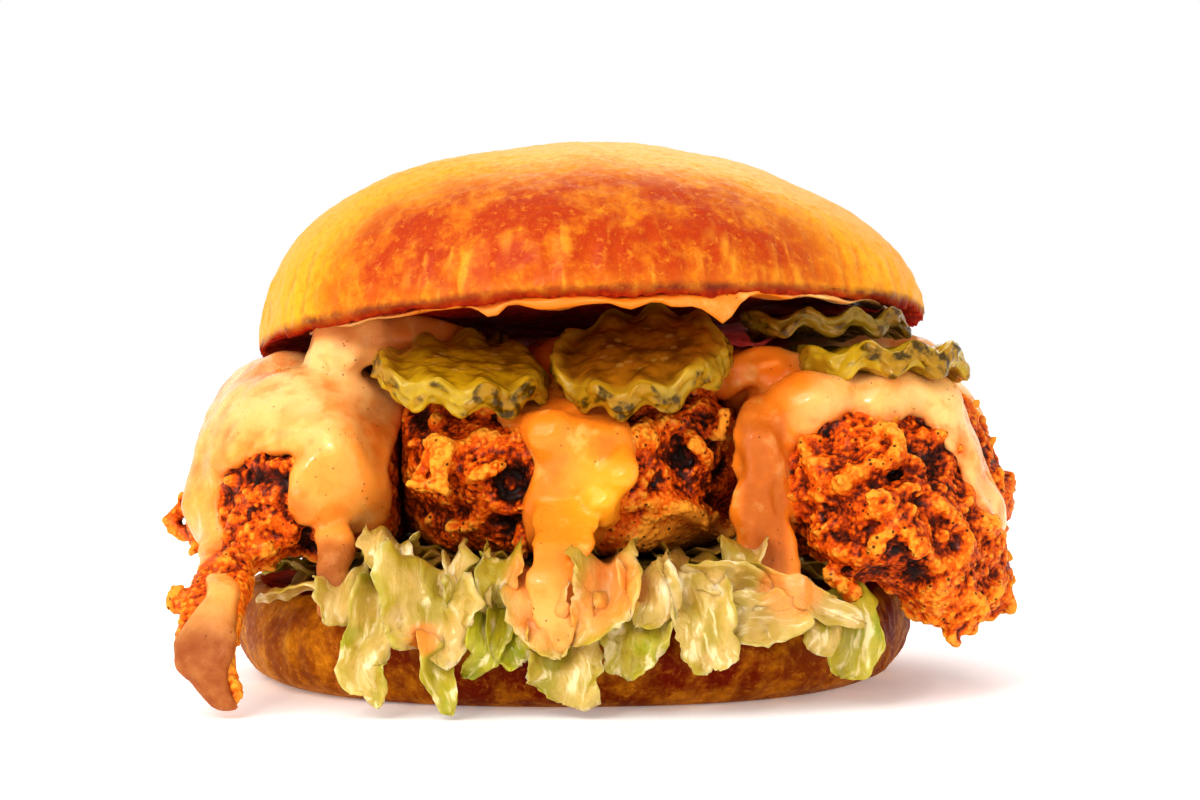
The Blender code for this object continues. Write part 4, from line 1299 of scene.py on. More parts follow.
# %% Strands of sauce: across, wobble, and rows of x, y, z, width and depth, in mm
STRANDS = {
    "left": [
        ("flap_run", (1, -0.35, 0), 0.28, [
            (-60.2, -32, 25, 6, 2.6), (-57.6, -43, 20.4, 5.4, 3.4), (-55.6, -51, 17, 5.4, 4.2),
            (-55.8, -55.6, 13.8, 7.2, 4.4), (-57.2, -58, 10.4, 10, 4.2), (-56.8, -59.4, 7.4, 8, 3.6),
            (-55.8, -60.2, 4.8, 5.6, 2.8), (-54.2, -60.8, 2.6, 3.8, 2.2), (-51.8, -61.2, 1.5, 1.8, 1.4)]),
        ("flap_corner", (0, 0, 1), 0.28, [
            (-56.5, -57.6, 11.4, 5, 3), (-59.4, -57.2, 11, 4, 2.4), (-62, -56.6, 10.2, 1, 1.2)]),
        ("finger", (1, 0, 0), 0.45, [
            (-40, -41.5, 27.5, 6.4, 2.6), (-39.4, -45.8, 23, 5.8, 2.4), (-39.4, -47.4, 18.6, 4.6, 2.2),
            (-40.2, -48, 15.2, 3.4, 1.8), (-38.4, -48.8, 13.4, 2.8, 1.4), (-36.4, -49.4, 13.6, 1.6, 1)]),
        ("heel_drip", (1, 0, 0), 0.28, [
            (-41.6, -44.6, 20.6, 2.4, 1.6), (-43.4, -41.6, 17.4, 2.6, 1.6), (-42, -42.8, 13.6, 3.2, 1.6),
            (-40.4, -43.8, 10.2, 4.6, 2.2)]),
        ("left_fold", (0, 0.35, 1), 0.3, [
            (-44, -24, 50, 9, 7), (-40.6, -29, 53.2, 11, 8), (-37.4, -30, 54.8, 9.6, 7),
            (-32, -28, 55, 8, 6), (-25, -24, 54.4, 7, 5), (-18, -20, 53, 6, 4)]),
    ],
    "middle": [
        ("tongue", (1, 0, 0), 0.28, [
            (-5, -46.5, 32, 10, 2.2), (-5.2, -51.5, 27.6, 10.4, 2.4), (-5.8, -57, 24.4, 9.6, 2.4),
            (-6.6, -60.4, 20.4, 8, 2), (-6.6, -61.4, 16, 7, 1.6), (-6, -61.6, 12.2, 5.2, 1.4),
            (-5.2, -61.4, 9.2, 2.4, 1.2)]),
    ],
    "right": [
        ("valley_fold", (0, 0.3, 1), 0.5, [
            (12, -20, 48.6, 7, 5), (19, -28, 49.4, 7.6, 6), (25, -31, 50.2, 6.4, 6), (32, -30, 50.4, 5, 5),
            (38, -28, 50.6, 4, 4)]),
        ("valley_floor", (1, 0, 0), 0.28, [
            (22, -28, 47, 12, 8), (22, -6, 49, 14, 9), (22, 16, 47, 12, 8)]),
        ("valley_column", (1, 0, 0), 0.5, [
            (25.4, -34, 46, 8, 5), (24.4, -40, 41, 8.4, 5), (24.2, -41.8, 35, 8, 5),
            (24.2, -42.4, 28, 8, 4.6), (24.6, -43.6, 22, 8.6, 4), (27, -46.6, 18.2, 9.4, 2.6),
            (32, -49, 16.4, 5, 1.6)]),
    ],
}
# Where the sauce is thicker: a place, a radius and a height, in mm
LOBES = {
    "left": [((-38, -44, 34), 8, 1)],
    "middle": [((3.2, -47, 35), 4.2, 3.2), ((0.2, -47, 30.2), 4, 3.4), ((-7.6, -46, 40), 4.4, 1.6),
               ((-7.8, -48, 28.6), 3, 1.2)],
    "right": [((24.5, -45, 31), 5, 0.8), ((33, -37, 48), 8, 1.6), ((42, -37, 48.5), 8, 2),
              ((51, -35, 47.5), 8, 1.6)],
}

# %% Pour it over the three pieces
for side, seed in (("left", 4.0), ("middle", 9.0), ("right", 15.0)):
    poured(side, seed)

# %% [markdown]
# Under the upper half of the bun the same sauce is spread thin with the back of a spoon. It shows as
# a pale, uneven line along the rim, with a few drops that hang from it.

# %% The spread under the crown
SPREAD_SEGMENTS = 220
SPREAD_THICKNESS = 0.7
# Drops that hang from it: x, y, how far they fall and how wide they are, in mm
DROPS = [(20.0, -50.5, 2.8, 2.1), (-14.5, -52.0, 2.4, 1.8), (6.0, -53.0, 1.3, 2.2), (12.5, -52.4, 1.5, 1.9)]


def spread_reach(angle):
    """How far out the spread goes: nearly to the rim in front, less elsewhere, with a ragged edge."""
    front = float(smoothstep(-0.2, 0.7, -math.sin(angle)))
    ragged = 0.5 * noise.noise(Vector((6.0 * math.cos(angle), 6.0 * math.sin(angle), 0.0)))
    left = float(smoothstep(-0.30, -0.42, math.cos(angle)))
    return 0.80 + 0.17 * front - 0.06 * left + 0.035 * ragged


def spread_ring(share, drop, fall):
    """A ring of the spread, drop mm under the cut face, with the share fall of its hanging drops."""
    ring = []
    for i in range(SPREAD_SEGMENTS):
        angle = 2.0 * math.pi * i / SPREAD_SEGMENTS
        spot = crown_underside(share * spread_reach(angle), angle)
        beads = 0.5 + 0.5 * noise.noise(Vector((9.0 * math.cos(angle), 9.0 * math.sin(angle), 4.0)))
        lobes = max(0.0, noise.noise(Vector((4.2 * math.cos(angle), 4.2 * math.sin(angle), 8.0))))
        hang = sum(depth * math.exp(-((spot.x - x) ** 2 + (spot.y - y) ** 2) / width**2)
                   for x, y, depth, width in DROPS)
        hang += (0.5 * beads + 2.4 * lobes) * float(smoothstep(0.8, 1.0, share))
        hang *= 0.3 + 0.7 * float(smoothstep(-26.0, -12.0, spot.x) * smoothstep(40.0, 28.0, spot.x))
        spot.z += 0.15 - drop - fall * hang
        ring.append(spot)
    return ring


spread_rings = [[crown_underside(0.0, 0.0) + Vector((0.0, 0.0, 0.15))]]
spread_rings += [spread_ring(i / 40.0, 0.0, 0.0) for i in range(1, 40)]
spread_rings += [spread_ring(1.0 + 0.012 * math.sin(math.pi * i / 8.0), SPREAD_THICKNESS * i / 8.0, i / 8.0)
                 for i in range(9)]
spread_rings += [spread_ring(i / 40.0, SPREAD_THICKNESS, 1.0) for i in range(39, 0, -1)]
spread_rings.append([crown_underside(0.0, 0.0) - Vector((0.0, 0.0, 0.6))])
spread = ring_surface("sauce_crown_spread", spread_rings)
spread_points = points_of(spread)
spread_points[:, 2] += 0.7 * waves(spread_points, 5.0, 2.0)
set_points(spread, seated_on_crown(spread_points))
# The whole spread is darkened a little.
store(spread, "stain", [0.14] * len(spread_points))
finished(spread, spiced_sauce, "sauce_cream", "sauce_crown")

# %% [markdown]
# Away from the front edge the spread gets a finish of its own: toasted crumb with sauce sunk into it,
# dry and dark red, and darker still as painted shade under the crown.

# %% The dark part of the spread, with painted shade


def soaked_finish():
    """Toasted crumb with sauce sunk into it: dark red and dull, and darker as painted shade."""
    finish = Finish("soaked_crumb", 0.9)
    pores = finish.grain(1.6, 5.0, 0.7)
    colour = finish.ramp(pores, [(0.3, rgb(120, 8, 1)), (0.55, rgb(186, 32, 2)), (0.8, rgb(214, 84, 12))])
    finish.set("Base Color", colour)
    finish.set("Specular IOR Level", 0.05)
    finish.relief((pores, 0.3))
    return finish.material


# The inner and back faces of the spread get the dark finish, as painted shade under the crown.
SOAKED_REACH = 0.80  # how far out the soaked part goes, as a share of the bun's radius
spread.data.materials.append(soaked_finish())
soaked = 0
for face in spread.data.polygons:
    spot = face.center / MM - CROWN_CENTRE
    out = math.hypot(spot.x, spot.y) / BUN_RADIUS
    if out < SOAKED_REACH + 0.06 * noise.noise(spot / 6.0) or spot.y > -0.30 * BUN_RADIUS:
        face.material_index = 1
        soaked += 1
print(soaked, "faces of the spread are soaked crumb")

# %% [markdown]
# ## The pickles
# A crinkle cutter leaves the same wave on both faces of a slice, so where the wave meets the edge
# the rim goes up and down. The skin at the edge is dark and warty, the flesh is clear and yellow, and
# the middle holds pale seeds. Each slice is drawn flat, and its own x and y are kept with each point,
# so that the pattern follows the slice when it is tilted.

# %% One crinkle-cut slice
PICKLE_RADIUS = 13.6
CRINKLE_PITCH = 7.2
CRINKLE_DEPTH = 0.95
SLICE_SEGMENTS = 220


class Slice:
    """A slice of pickle: place, turn in degrees (spun first, then tilted), size, thickness, droop."""

    def __init__(self, node, centre, turn, size, thickness, bend):
        self.node = node
        self.centre = Vector(centre) + SHIFT
        self.turn = Euler([math.radians(part) for part in turn], "ZYX").to_matrix()
        self.radius = PICKLE_RADIUS * size
        self.thickness = thickness
        self.bend = bend

    def ring(self, share, side):
        """A ring of one face; side runs from -1, the lower face, to 1, the upper one."""
        ring = []
        for i in range(SLICE_SEGMENTS):
            angle = 2.0 * math.pi * i / SLICE_SEGMENTS
            radius = self.radius * share * (1.0 + 0.03 * math.sin(3.0 * angle + self.centre.x))
            wart = 0.7 * noise.noise(Vector((8.0 * math.cos(angle), 8.0 * math.sin(angle), 2.0 * side)))
            wart += 0.8 * noise.noise(Vector((3.0 * math.cos(angle), 3.0 * math.sin(angle), self.centre.x)))
            wart += 0.45 * math.sin(2.0 * math.pi * self.radius * math.cos(angle) / CRINKLE_PITCH) * side
            radius += wart * float(smoothstep(0.85, 1.0, share))
            x, y = radius * math.cos(angle), radius * math.sin(angle)
            ring.append(self.lifted(x, y, side))
        return ring

    def lifted(self, x, y, side):
        """A point of a face: crinkled, drooping to its edge, and sunk a little in the middle."""
        share = math.hypot(x, y) / self.radius
        crinkle = CRINKLE_DEPTH * math.sin(2.0 * math.pi * x / CRINKLE_PITCH)
        crinkle *= 0.15 + 0.85 * float(smoothstep(0.55, 0.95, share))
        droop = self.bend * (x * x + 0.4 * y * y) / self.radius
        sunk = 0.35 * side * max(0.0, 1.0 - share * 1.6)
        return Vector((x, y, crinkle - droop - sunk + 0.5 * side * self.thickness))

    def solid(self, finish):
        """The whole slice: lower face, rounded rim and upper face."""
        rings = [[self.lifted(0.0, 0.0, -1.0)]]
        rings += [self.ring(i / 36.0, -1.0) for i in range(1, 35)]
        rings += [self.ring(1.0 - 0.045 * (1.0 - math.cos(0.5 * math.pi * k / 5.0)), k / 5.0)
                  for k in range(-5, 6)]
        rings += [self.ring(i / 36.0, 1.0) for i in range(34, 0, -1)]
        rings.append([self.lifted(0.0, 0.0, 1.0)])
        made = ring_surface(self.node + "_slice", rings)
        flat = points_of(made)
        store(made, "slice_x", flat[:, 0])
        store(made, "slice_y", flat[:, 1])
        store(made, "out", np.hypot(flat[:, 0], flat[:, 1]) / self.radius)
        bumps = 0.5 * waves(flat, 3.0, 3.0) + 0.16 * waves(flat, 1.1, 1.0)
        flat = flat + normals_of(made) * bumps[:, None]
        set_points(made, flat @ np.array(self.turn).T + np.array(self.centre))
        return finished(made, finish, "pickle_flesh", self.node)


# %% The pickles' finish


def pickle_finish(name, clear, deep, shade):
    """Flesh of a pickle; reads slice_x, slice_y and out. Shade is painted shade that darkens the slices that
    lie inside.
    """
    finish = Finish(name, 0.14)
    flat = finish.vector(finish.attribute("slice_x"), finish.attribute("slice_y"), 0.0)
    out = finish.attribute("out")
    cloud = finish.noise(flat, 0.22, 4.0)
    colour = finish.mix(finish.range(cloud, 0.3, 0.7), clear, deep)
    seeds = finish.add("ShaderNodeTexVoronoi")
    finish.plug(seeds.inputs["Vector"], flat)
    finish.plug(seeds.inputs["Scale"], 0.42)
    seed = finish.times(finish.range(seeds.outputs["Distance"], 0.34, 0.2), finish.range(out, 0.62, 0.45))
    colour = finish.mix(finish.times(seed, 0.4), colour, rgb(206, 176, 84))
    colour = finish.mix(finish.range(out, 0.80, 0.95, 0.0, 0.7), colour, rgb(196, 164, 40))
    spots = finish.grain(2.2, 3.0, 0.5)
    skin = finish.mix(finish.range(spots, 0.38, 0.56), rgb(84, 60, 0), rgb(172, 130, 20))
    colour = finish.mix(finish.range(out, 0.965, 0.995), colour, skin)
    # Painted shade for the slices that lie under the crown.
    colour = finish.mix(shade, colour, rgb(96, 62, 14))
    finish.set("Base Color", colour)
    finish.set("Specular IOR Level", 0.3)
    finish.set("Coat Weight", finish.range(out, 0.94, 0.99, 0.4, 0.1))
    finish.set("Coat Roughness", 0.05)
    finish.flesh(0.5, (0.8, 0.9, 0.2), 2.4)
    finish.relief((cloud, 0.35), (finish.grain(0.8, 3.0), 0.10))
    return finish.material


bright_pickle = pickle_finish("pickle_bright", rgb(200, 164, 18), rgb(140, 104, 10), 0.0)
# The middle slice is browner, and darker as painted shade on its shaded face.
amber_pickle = pickle_finish("pickle_amber", rgb(176, 122, 20), rgb(112, 72, 8), 0.0)
# The slice under the crown is painted dark, as painted shade.
dark_pickle = pickle_finish("pickle_dark", rgb(70, 46, 8), rgb(40, 26, 4), 0.45)
# The sauced slice under the crown gets a little painted shade.
sauced_pickle = pickle_finish("pickle_sauced", rgb(206, 128, 50), rgb(140, 84, 20), 0.1)
SLICES = [
    (Slice("pickle_left", (-20.5, -37.5, 50), (17, 4, 8), 0.98, 4.2, 0.10), bright_pickle),
    (Slice("pickle_middle", (6, -37.5, 52), (27, -8, -6), 1, 4.2, 0.08), amber_pickle),
    (Slice("pickle_right", (43.5, -28.5, 51.4), (-2, -1, 10), 1, 4, 0.04), bright_pickle),
    (Slice("pickle_back", (-27.5, -12, 52.2), (-6, -3, 30), 0.92, 4.2, 0), sauced_pickle),
    (Slice("pickle_upper", (35, -24, 56.9), (-2, -1, 10), 0.96, 2.8, 0), dark_pickle),
]
for piece, finish in SLICES:
    piece.solid(finish)

# %% [markdown]
# ## The lettuce
# Iceberg lettuce that is cut in strips keeps the curl of its leaf: stiff pale ribs, thin ruffled
# green edges. The pieces that hang out in front are each drawn along their own curve. The rest of the
# heap is a tangle of shreds: a loop draws each with the same helper, at a random bearing and level.

# %% One piece of leaf


LEAF_THICKNESS = 0.8


def leaf(name, spots, widths, ruffle, cup, seed, green=None, steps=44, columns=16,
         side=(1.0, 0.0, 0.0), shifted=True):
    """A ruffled strip of leaf along a curve: widths along it, in mm, and both faces alike."""
    draw = random.Random(seed)
    phase, pace = draw.uniform(0.0, 6.28), draw.uniform(1.6, 2.6)
    across = Vector(side)
    spots = [Vector(spot) + (SHIFT if shifted else Vector()) for spot in spots]
    top, low, over_values, along_values = [], [], [], []
    length = sum((b - a).length for a, b in zip(spots, spots[1:]))
    for i in range(steps + 1):
        at = i / steps
        middle = along(spots, at)
        ahead = (along(spots, at + 0.01) - along(spots, at - 0.01)).normalized()
        over = (across - ahead * across.dot(ahead)).normalized()
        out = ahead.cross(over)
        tip = math.sqrt(max(0.0, 1.0 - max(0.0, (at - 0.82) / 0.18) ** 2.2))
        half = 0.5 * between(widths, at) * (0.25 + 0.75 * tip)
        for j in range(columns + 1):
            s = 2.0 * j / columns - 1.0
            jag = 0.30 * noise.noise(Vector((0.30 * at * length, 2.0 * s, seed)))
            jag += 0.14 * noise.noise(Vector((0.9 * at * length, 5.0 * s, 2.0 * seed)))
            flat = middle + over * (half * s * (1.0 + jag)) + ahead * (1.6 * jag * at)
            frill = ruffle * abs(s) ** 1.6 * math.sin(2.0 * math.pi * pace * at + phase + 2.4 * s)
            bow = cup * half * (s * s - 0.35) * 0.5
            fold = 3.0 * noise.noise(Vector((flat.x / 5.0, flat.z / 8.0, 3.0 * seed)))
            fold += 0.9 * noise.noise(Vector((flat.x / 2.2, flat.z / 4.0, 5.0 * seed)))
            spot = flat + out * (frill + bow + fold * min(1.0, 3.0 * at))
            thin = 0.5 * LEAF_THICKNESS * (1.1 - 0.75 * s * s)
            top.append(spot + out * thin)
            low.append(spot - out * thin)
            over_values.append(s * half)
            along_values.append(at * length)
    row = columns + 1
    count = len(top)
    faces = []
    for i in range(steps):
        for j in range(columns):
            a, b, c, d = i * row + j, i * row + j + 1, (i + 1) * row + j + 1, (i + 1) * row + j
            faces += [(a, b, c), (a, c, d)]
            faces += [(count + c, count + b, count + a), (count + d, count + c, count + a)]
    rim = [*range(row), *(i * row + columns for i in range(1, steps + 1))]
    rim += [steps * row + j for j in range(columns - 1, -1, -1)] + [i * row for i in range(steps - 1, 0, -1)]
    for a, b in zip(rim, rim[1:] + rim[:1]):
        faces.append((b, a, count + a, count + b))
    made = mesh_object(name, top + low, faces)
    store(made, "leaf_x", over_values * 2)
    store(made, "leaf_y", along_values * 2)
    store(made, "green", [draw.random() if green is None else green] * (2 * count))
    return made


# %% [markdown]
# Iceberg is nearly white at its ribs and yellow green where the blade is thin. The veins run
# lengthwise and fan out, so the pattern is stretched along each strip: each strip carries its own
# length and width, in mm, for that. Where sauce dripped on it, the leaf is stained orange, and deep
# in the heap it is in shade.

# %% The lettuce's finish


def lettuce_finish():
    """Iceberg leaf; reads leaf_x, leaf_y, green, inner and sauced from the mesh."""
    finish = Finish("lettuce_leaf", 0.3)
    green = finish.attribute("green")
    strip = finish.vector(finish.attribute("leaf_x"), finish.times(finish.attribute("leaf_y"), 0.28),
                          finish.times(green, 40.0))
    fibre = finish.noise(strip, 0.8, 4.0, twist=0.6)
    cloud = finish.grain(6.5, 3.0, 0.55)
    pale = finish.mix(finish.range(cloud, 0.35, 0.65), rgb(214, 182, 112), rgb(188, 160, 62))
    colour = finish.mix(finish.range(green, 0.4, 1.0, 0.0, 0.9), pale, rgb(178, 170, 10))
    colour = finish.mix(finish.times(green, finish.range(cloud, 0.50, 0.66)), colour, rgb(156, 158, 10))
    colour = finish.mix(finish.range(fibre, 0.52, 0.68, 0.0, 0.8), colour, rgb(240, 222, 176))
    colour = finish.mix(finish.range(fibre, 0.46, 0.30, 0.0, 0.5), colour, rgb(164, 134, 24))
    inner = finish.times(finish.attribute("inner"), finish.range(cloud, 0.3, 0.6, 0.9, 0.5))
    colour = finish.mix(inner, colour, rgb(150, 106, 24))
    wet = finish.times(finish.attribute("sauced"), finish.range(cloud, 0.30, 0.5, 0.55, 1.0))
    finish.set("Base Color", finish.mix(wet, colour, rgb(244, 160, 74)))
    finish.set("Roughness", finish.range(cloud, 0.3, 0.7, 0.22, 0.4))
    finish.set("Specular IOR Level", 0.5)
    finish.set("Coat Weight", 0.2)
    finish.set("Coat Roughness", 0.12)
    finish.flesh(0.4, (0.8, 1.0, 0.3), 1.8)
    finish.relief((fibre, 0.35), (finish.grain(1.2, 3.0), 0.12))
    return finish.material


crisp_leaf = lettuce_finish()

# %% The pieces that hang out in front
UPRIGHT, LEVEL = (1.0, 0.0, 0.0), (0.0, 0.0, 1.0)
# name, ruffle, cup, seed, how green it is, the direction that its width lies in, and rows of x, y, z
# and width, in mm
FRONT_LEAVES = [
    ("left_strip", 0.9, 0.8, 3, 0.55, UPRIGHT, [
        (-30, -46, 18.8, 5), (-32.6, -55, 18.2, 5.8), (-33.5, -58.8, 11.5, 7.2), (-34.3, -59.4, 7.3, 7.6),
        (-32.4, -59.6, 4.1, 3.8), (-31.7, -59.4, 2, 1.2)]),
    ("pale_curl", 2, 1.5, 5, 0.2, UPRIGHT, [
        (-25, -46, 19.4, 9), (-24.6, -54.5, 22.4, 11), (-24.8, -60, 18.4, 14), (-24.5, -60.8, 12.4, 12.5),
        (-25.2, -60.2, 9.3, 7)]),
    ("curl_tail", 0.5, 0.8, 8, 0.75, UPRIGHT, [
        (-24.6, -58, 13.4, 4), (-24.3, -60.6, 10.6, 3.8), (-23.5, -61.2, 7, 4.8), (-22.1, -61.4, 3.4, 4),
        (-21.6, -61.2, 0.8, 1.6)]),
    ("olive_tube", 0.8, 2.2, 10, 0.8, UPRIGHT, [
        (-14.5, -48, 22.6, 5), (-14.2, -55, 23, 6), (-14.6, -58.4, 20, 6.4), (-15, -58.6, 16, 4)]),
    ("green_bit", 0.9, 1, 12, 1, UPRIGHT, [
        (-14.4, -50, 18.4, 5), (-14.8, -56.4, 17.6, 6), (-15.9, -59.6, 11.5, 6), (-17.3, -59.8, 8.4, 4.4),
        (-19.9, -59.6, 6.2, 1.6)]),
    ("yellow_bit", 1, 1.6, 13, 0.92, UPRIGHT, [
        (-12.2, -48, 18.5, 4.4), (-12.7, -56, 17.8, 5), (-13.3, -60.2, 12, 6.2), (-11.2, -60.2, 7.9, 4.4)]),
    ("cream_left", 0.8, 0.8, 17, 0.05, UPRIGHT, [
        (-10, -47, 21, 6), (-10.6, -56, 20.9, 7.4), (-9.4, -61, 17.2, 9.8), (-7.4, -62, 12.8, 7.6),
        (-5.6, -62.2, 9, 2.4)]),
    ("cream_right", 1.2, 1.4, 19, 0.05, UPRIGHT, [
        (1, -47, 22, 8), (0.6, -55, 22.8, 9.6), (0.9, -60, 18.6, 10.4), (-0.9, -61, 14.8, 7.4),
        (-4, -61.6, 10.8, 2)]),
    ("round_leaf", 0.8, 1, 21, 0.55, UPRIGHT, [
        (-5.8, -50, 16.4, 8), (-5.8, -57, 14.4, 8.4), (-5.3, -59.6, 9.9, 10.6), (-4.9, -60.2, 5.5, 11.4),
        (-5.5, -59.4, 2.2, 7)]),
    ("pointed_leaf", 1.1, 1.2, 24, 0.75, UPRIGHT, [
        (4, -48, 18, 9), (4.3, -56.4, 17.4, 10.4), (4.8, -59.4, 12.7, 12), (4, -59.8, 8.4, 7.6),
        (3.9, -59.4, 5.4, 1.2)]),
    ("white_tip", 1, 1.4, 27, 0.1, UPRIGHT, [
        (6, -48, 20.6, 7), (6.2, -55.6, 21, 8), (7.4, -60.4, 17, 8), (5.4, -61.2, 13.4, 2)]),
    ("jagged_leaf", 1.3, 1.4, 31, 0.15, UPRIGHT, [
        (12.4, -47, 20, 8), (13, -55, 21.2, 9.4), (14.4, -60, 17, 9), (15.6, -61, 11.4, 9),
        (16.4, -60.8, 7.2, 7)]),
    ("upper_right", 0.6, 0.9, 33, 0.4, LEVEL, [
        (12, -54, 19.4, 4), (17.6, -57.6, 19.6, 6.4), (22, -57.4, 18.6, 6.4), (26, -56, 16.4, 2)]),
    ("wide_right", 0.8, 1.2, 38, 0.5, LEVEL, [
        (14, -55.6, 15.4, 5), (19.4, -58.4, 14.8, 7.6), (25, -57.6, 14.4, 8.4), (29.4, -55, 15.8, 3.6)]),
    ("under_strip", 0.5, 0.7, 41, 0.1, LEVEL, [
        (19.5, -50, 21, 2.6), (24, -54.4, 19.6, 4.4), (29, -55, 17.8, 4.6), (33.6, -53.4, 15.2, 4.2),
        (39, -49.6, 12.6, 2)]),
    ("far_leaf", 0.8, 1, 44, 0.8, UPRIGHT, [
        (34, -41, 16.8, 6), (36.8, -46.4, 14.4, 8.6), (37.4, -49.4, 9.6, 9), (35.6, -50, 4.8, 5)]),
    ("far_fold", 0.8, 1.2, 46, 0.45, UPRIGHT, [
        (29, -44, 17, 5), (31.6, -50.4, 15.4, 6.4), (32.4, -52.4, 11.6, 6), (31.6, -52.4, 8.6, 3)]),
    ("grey_strip", 0.3, 0.5, 47, 0.1, UPRIGHT, [
        (-36, -46, 16.6, 3.6), (-42, -45.4, 17.4, 4.6), (-48, -40.6, 16.4, 4), (-52, -35, 15, 2.4)]),
    ("peek_left", 1, 1, 52, 0.3, UPRIGHT, [
        (-31, -38, 20.4, 7), (-31, -44, 24.6, 8), (-31.4, -49.4, 24, 8), (-31, -53, 19.6, 5)]),
    ("peek_middle", 1.2, 1.2, 55, 0.35, UPRIGHT, [
        (-19.4, -45, 19.6, 6), (-19.6, -54, 21.4, 7), (-19, -58.4, 17, 7), (-18.6, -59, 13, 4.6)]),
    ("peek_seam", 0.8, 1, 58, 0.2, UPRIGHT, [
        (21.6, -36, 20, 6), (21.6, -42, 24, 7), (21.4, -47.4, 23.6, 7), (21, -51, 19, 5)]),
    ("back_left", 1.1, 1.2, 61, 0.25, UPRIGHT, [
        (-38, -38, 18.8, 7), (-38, -47, 19.4, 8), (-38.4, -51.6, 16.4, 7), (-38, -52.6, 12.4, 4)]),
]
leaves = []
for name, ruffle, cup, seed, green, side, rows in FRONT_LEAVES:
    curve = [row[:3] for row in rows]
    widths = [row[3] for row in rows]
    leaves.append(leaf("leaf_" + name, curve, widths, ruffle, cup, seed, green=green, side=side))
print(len(leaves), "pieces of leaf in front")

# %% The heap: shreds strewn over the bed
SHREDS = 110
BED_RADIUS = 46.0
BED_BOTTOM, BED_TOP = 16.6, 21.0
draw = random.Random(77)
for number in range(SHREDS):
    bearing_out = draw.uniform(0.0, 2.0 * math.pi)
    way = Vector((math.cos(bearing_out), math.sin(bearing_out), 0.0))
    aside = Vector((-way.y, way.x, 0.0))
    reach = draw.uniform(BED_RADIUS + 2.0, BED_RADIUS + 6.6)
    level = draw.uniform(BED_BOTTOM + 0.5, BED_TOP + 1.2)
    swing = draw.uniform(-7.0, 7.0)
    droop = draw.uniform(0.0, 3.0) * (reach > BED_RADIUS + 5.0)
    curve = [HEEL_CENTRE + way * (reach - 18.0) + Vector((0.0, 0.0, level)),
             HEEL_CENTRE + way * (reach - 7.0) + aside * swing * 0.4 + Vector((0.0, 0.0, level + 0.4)),
             HEEL_CENTRE + way * reach + aside * swing + Vector((0.0, 0.0, level - droop))]
    leaves.append(leaf(f"shred_{number}", curve, [draw.uniform(2.5, 5.0), draw.uniform(2.5, 6.0), 2.0],
                       0.5, 0.5, number, steps=14, columns=6, side=aside, shifted=False))
bed_rings = [[HEEL_CENTRE + Vector((0.0, 0.0, BED_BOTTOM))]]
for share, level in ((0.5, BED_BOTTOM), (0.9, BED_BOTTOM), (0.965, 0.5 * (BED_BOTTOM + BED_TOP)),
                     (0.9, BED_TOP), (0.5, BED_TOP)):
    bed_rings.append([HEEL_CENTRE + Vector((BED_RADIUS * share * math.cos(math.pi * k / 60.0),
                                            BED_RADIUS * share * math.sin(math.pi * k / 60.0), level))
                      for k in range(120)])
bed_rings.append([HEEL_CENTRE + Vector((0.0, 0.0, BED_TOP))])
bed = ring_surface("bed", bed_rings)
bed_face_count = len(bed.data.polygons)
store(bed, "green", [0.3] * len(bed.data.vertices))
heap = joined([*leaves, bed], "lettuce_leaves")
# Places where sauce lies on the leaves: x and z in the photograph's plane, and a radius, in mm
STAINS = [(-7.4, 15.6, 5.4), (-9.0, 20.0, 5.0), (1.6, 19.0, 4.6), (-1.0, 15.4, 3.0), (-25.5, 11.5, 2.4),
          (28.0, 18.6, 5.0)]
heap_points = points_of(heap) - np.array(SHIFT)
stain = np.zeros(len(heap_points))
for x, z, radius in STAINS:
    away = np.hypot(heap_points[:, 0] - x, heap_points[:, 2] - z)
    stain = np.maximum(stain, 1.0 - smoothstep(0.6 * radius, 1.2 * radius, away))
out_from_middle = np.hypot(heap_points[:, 0] - (HEEL_CENTRE - SHIFT).x, heap_points[:, 1])
shade_edge = np.where(heap_points[:, 1] < -20.0, 50.0, 42.0)
store(heap, "inner", 1.0 - smoothstep(0.0, 7.5, out_from_middle - shade_edge))
store(heap, "sauced", 0.9 * stain * (heap_points[:, 1] < -48.0))
finished(heap, crisp_leaf, "lettuce_leaf", "lettuce")

# %% [markdown]
# Where the heap is pressed flat under the chicken hardly any light gets in. Those faces, the bed's,
# get a darker and duller finish, which is painted shade.

# %% The pressed part of the heap


def pressed_finish():
    """Pressed lettuce, dark as painted shade: short dull strips, made by squeezing the place from top to
    bottom.
    """
    finish = Finish("pressed_lettuce", 0.8)
    squeezed = finish.add("ShaderNodeMapping")
    finish.plug(squeezed.inputs["Vector"], finish.place)
    finish.plug(squeezed.inputs["Scale"], (1.0, 1.0, 2.5))
    strips = finish.noise(squeezed.outputs["Vector"], 1.0 / (2.2 * MM), 4.0, 0.6)
    finish.set("Base Color", finish.ramp(strips, [(0.3, rgb(70, 48, 8)), (0.5, rgb(126, 96, 22)),
                                                  (0.7, rgb(178, 150, 60))]))
    finish.set("Specular IOR Level", 0.05)
    finish.relief((strips, 0.6))
    return finish.material


# The bed's faces get the darker finish, as painted shade.
heap.data.materials.append(pressed_finish())
flat_part = np.zeros(len(heap.data.polygons), dtype=np.int32)
flat_part[-bed_face_count:] = 1
heap.data.polygons.foreach_set("material_index", flat_part)
print(int(flat_part.sum()), "faces of the heap are its pressed bed")

# %% [markdown]
# ## Floor, camera and light
# The photograph is bright and clean: a white ground, a white surround and soft light from the front
# and from above, with a rim of light from the white surround at the sides. It was also printed hard,
# with deep shadows and strong colours, which a gamma a little under 1 gives. A small bare lamp puts the
# sharp glints on the wet sauce. The camera looks almost level, from half a metre away.

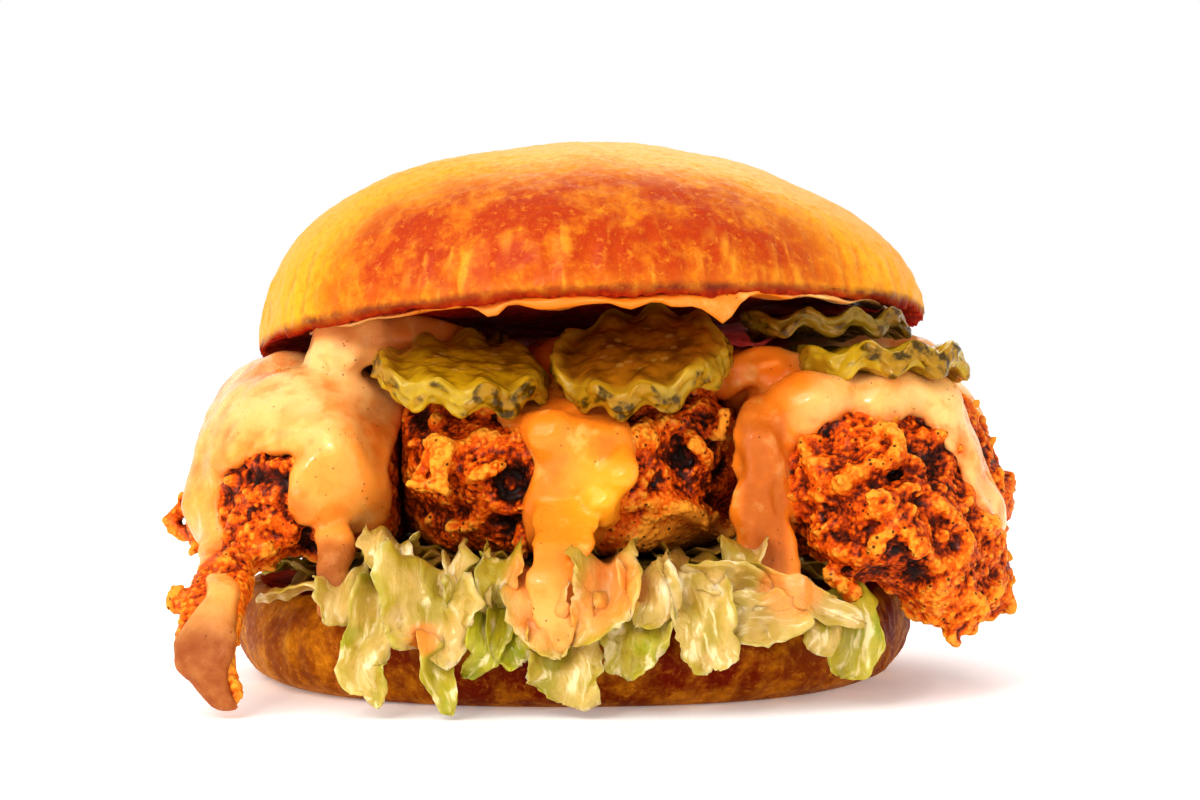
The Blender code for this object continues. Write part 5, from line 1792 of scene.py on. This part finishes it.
# %% Floor and surround
FLOOR_HALF = 3000.0
floor_corners = [(-1, -1), (1, -1), (1, 1), (-1, 1)]
floor = mesh_object("floor", [(FLOOR_HALF * x, FLOOR_HALF * y, 0.0) for x, y in floor_corners],
                    [(0, 1, 2, 3)])
floor_finish = Finish("white_ground", 0.6)
floor_finish.set("Base Color", (0.98, 0.98, 0.98, 1.0))
floor_finish.set("Emission Color", (1.0, 1.0, 1.0, 1.0))
floor_finish.set("Emission Strength", 0.25)
floor.data.materials.append(floor_finish.material)

world = bpy.data.worlds.new("white_surround")
bpy.context.scene.world = world
world.use_nodes = True
world.node_tree.nodes["Background"].inputs["Color"].default_value = (1.0, 1.0, 1.0, 1.0)
world.node_tree.nodes["Background"].inputs["Strength"].default_value = 1.0


# %% Camera and lights
def aimed(thing, place, target):
    """Puts a camera or lamp at a place, in millimetres, and turns it to a target."""
    thing.location = (Vector(place) + SHIFT) * MM
    thing.rotation_euler = (Vector(target) - Vector(place)).to_track_quat("-Z", "Y").to_euler()
    bpy.context.scene.collection.objects.link(thing)


CAMERA_DISTANCE = 467.5
CAMERA_HEIGHT = 55.0
CAMERA_PITCH = math.radians(1.27)
camera_data = bpy.data.cameras.new("camera")
camera_data.lens = 85.0
camera_data.sensor_width = 36.0
camera_data.clip_start = 0.01
camera = bpy.data.objects.new("camera", camera_data)
look_at = (0.0, 0.0, CAMERA_HEIGHT - CAMERA_DISTANCE * math.tan(CAMERA_PITCH))
aimed(camera, (0.0, -CAMERA_DISTANCE, CAMERA_HEIGHT), look_at)
bpy.context.scene.camera = camera


def softbox(name, place, size, watts):
    """A round lamp, size mm across, aimed at the middle of the burger."""
    lamp = bpy.data.lights.new(name, "AREA")
    lamp.shape = "DISK"
    lamp.size = size * MM
    lamp.energy = watts
    aimed(bpy.data.objects.new(name, lamp), place, (0.0, 0.0, 45.0))


softbox("key_light", (-300.0, -420.0, 380.0), 520.0, 1.8)
softbox("fill_light", (380.0, -420.0, 160.0), 360.0, 0.3)
softbox("glint_light", (-170.0, -520.0, 300.0), 36.0, 0.35)
softbox("back_light", (60.0, 420.0, 420.0), 360.0, 0.4)
bpy.context.scene.view_settings.view_transform = "Standard"
bpy.context.scene.view_settings.look = "None"
bpy.context.scene.view_settings.gamma = 0.8
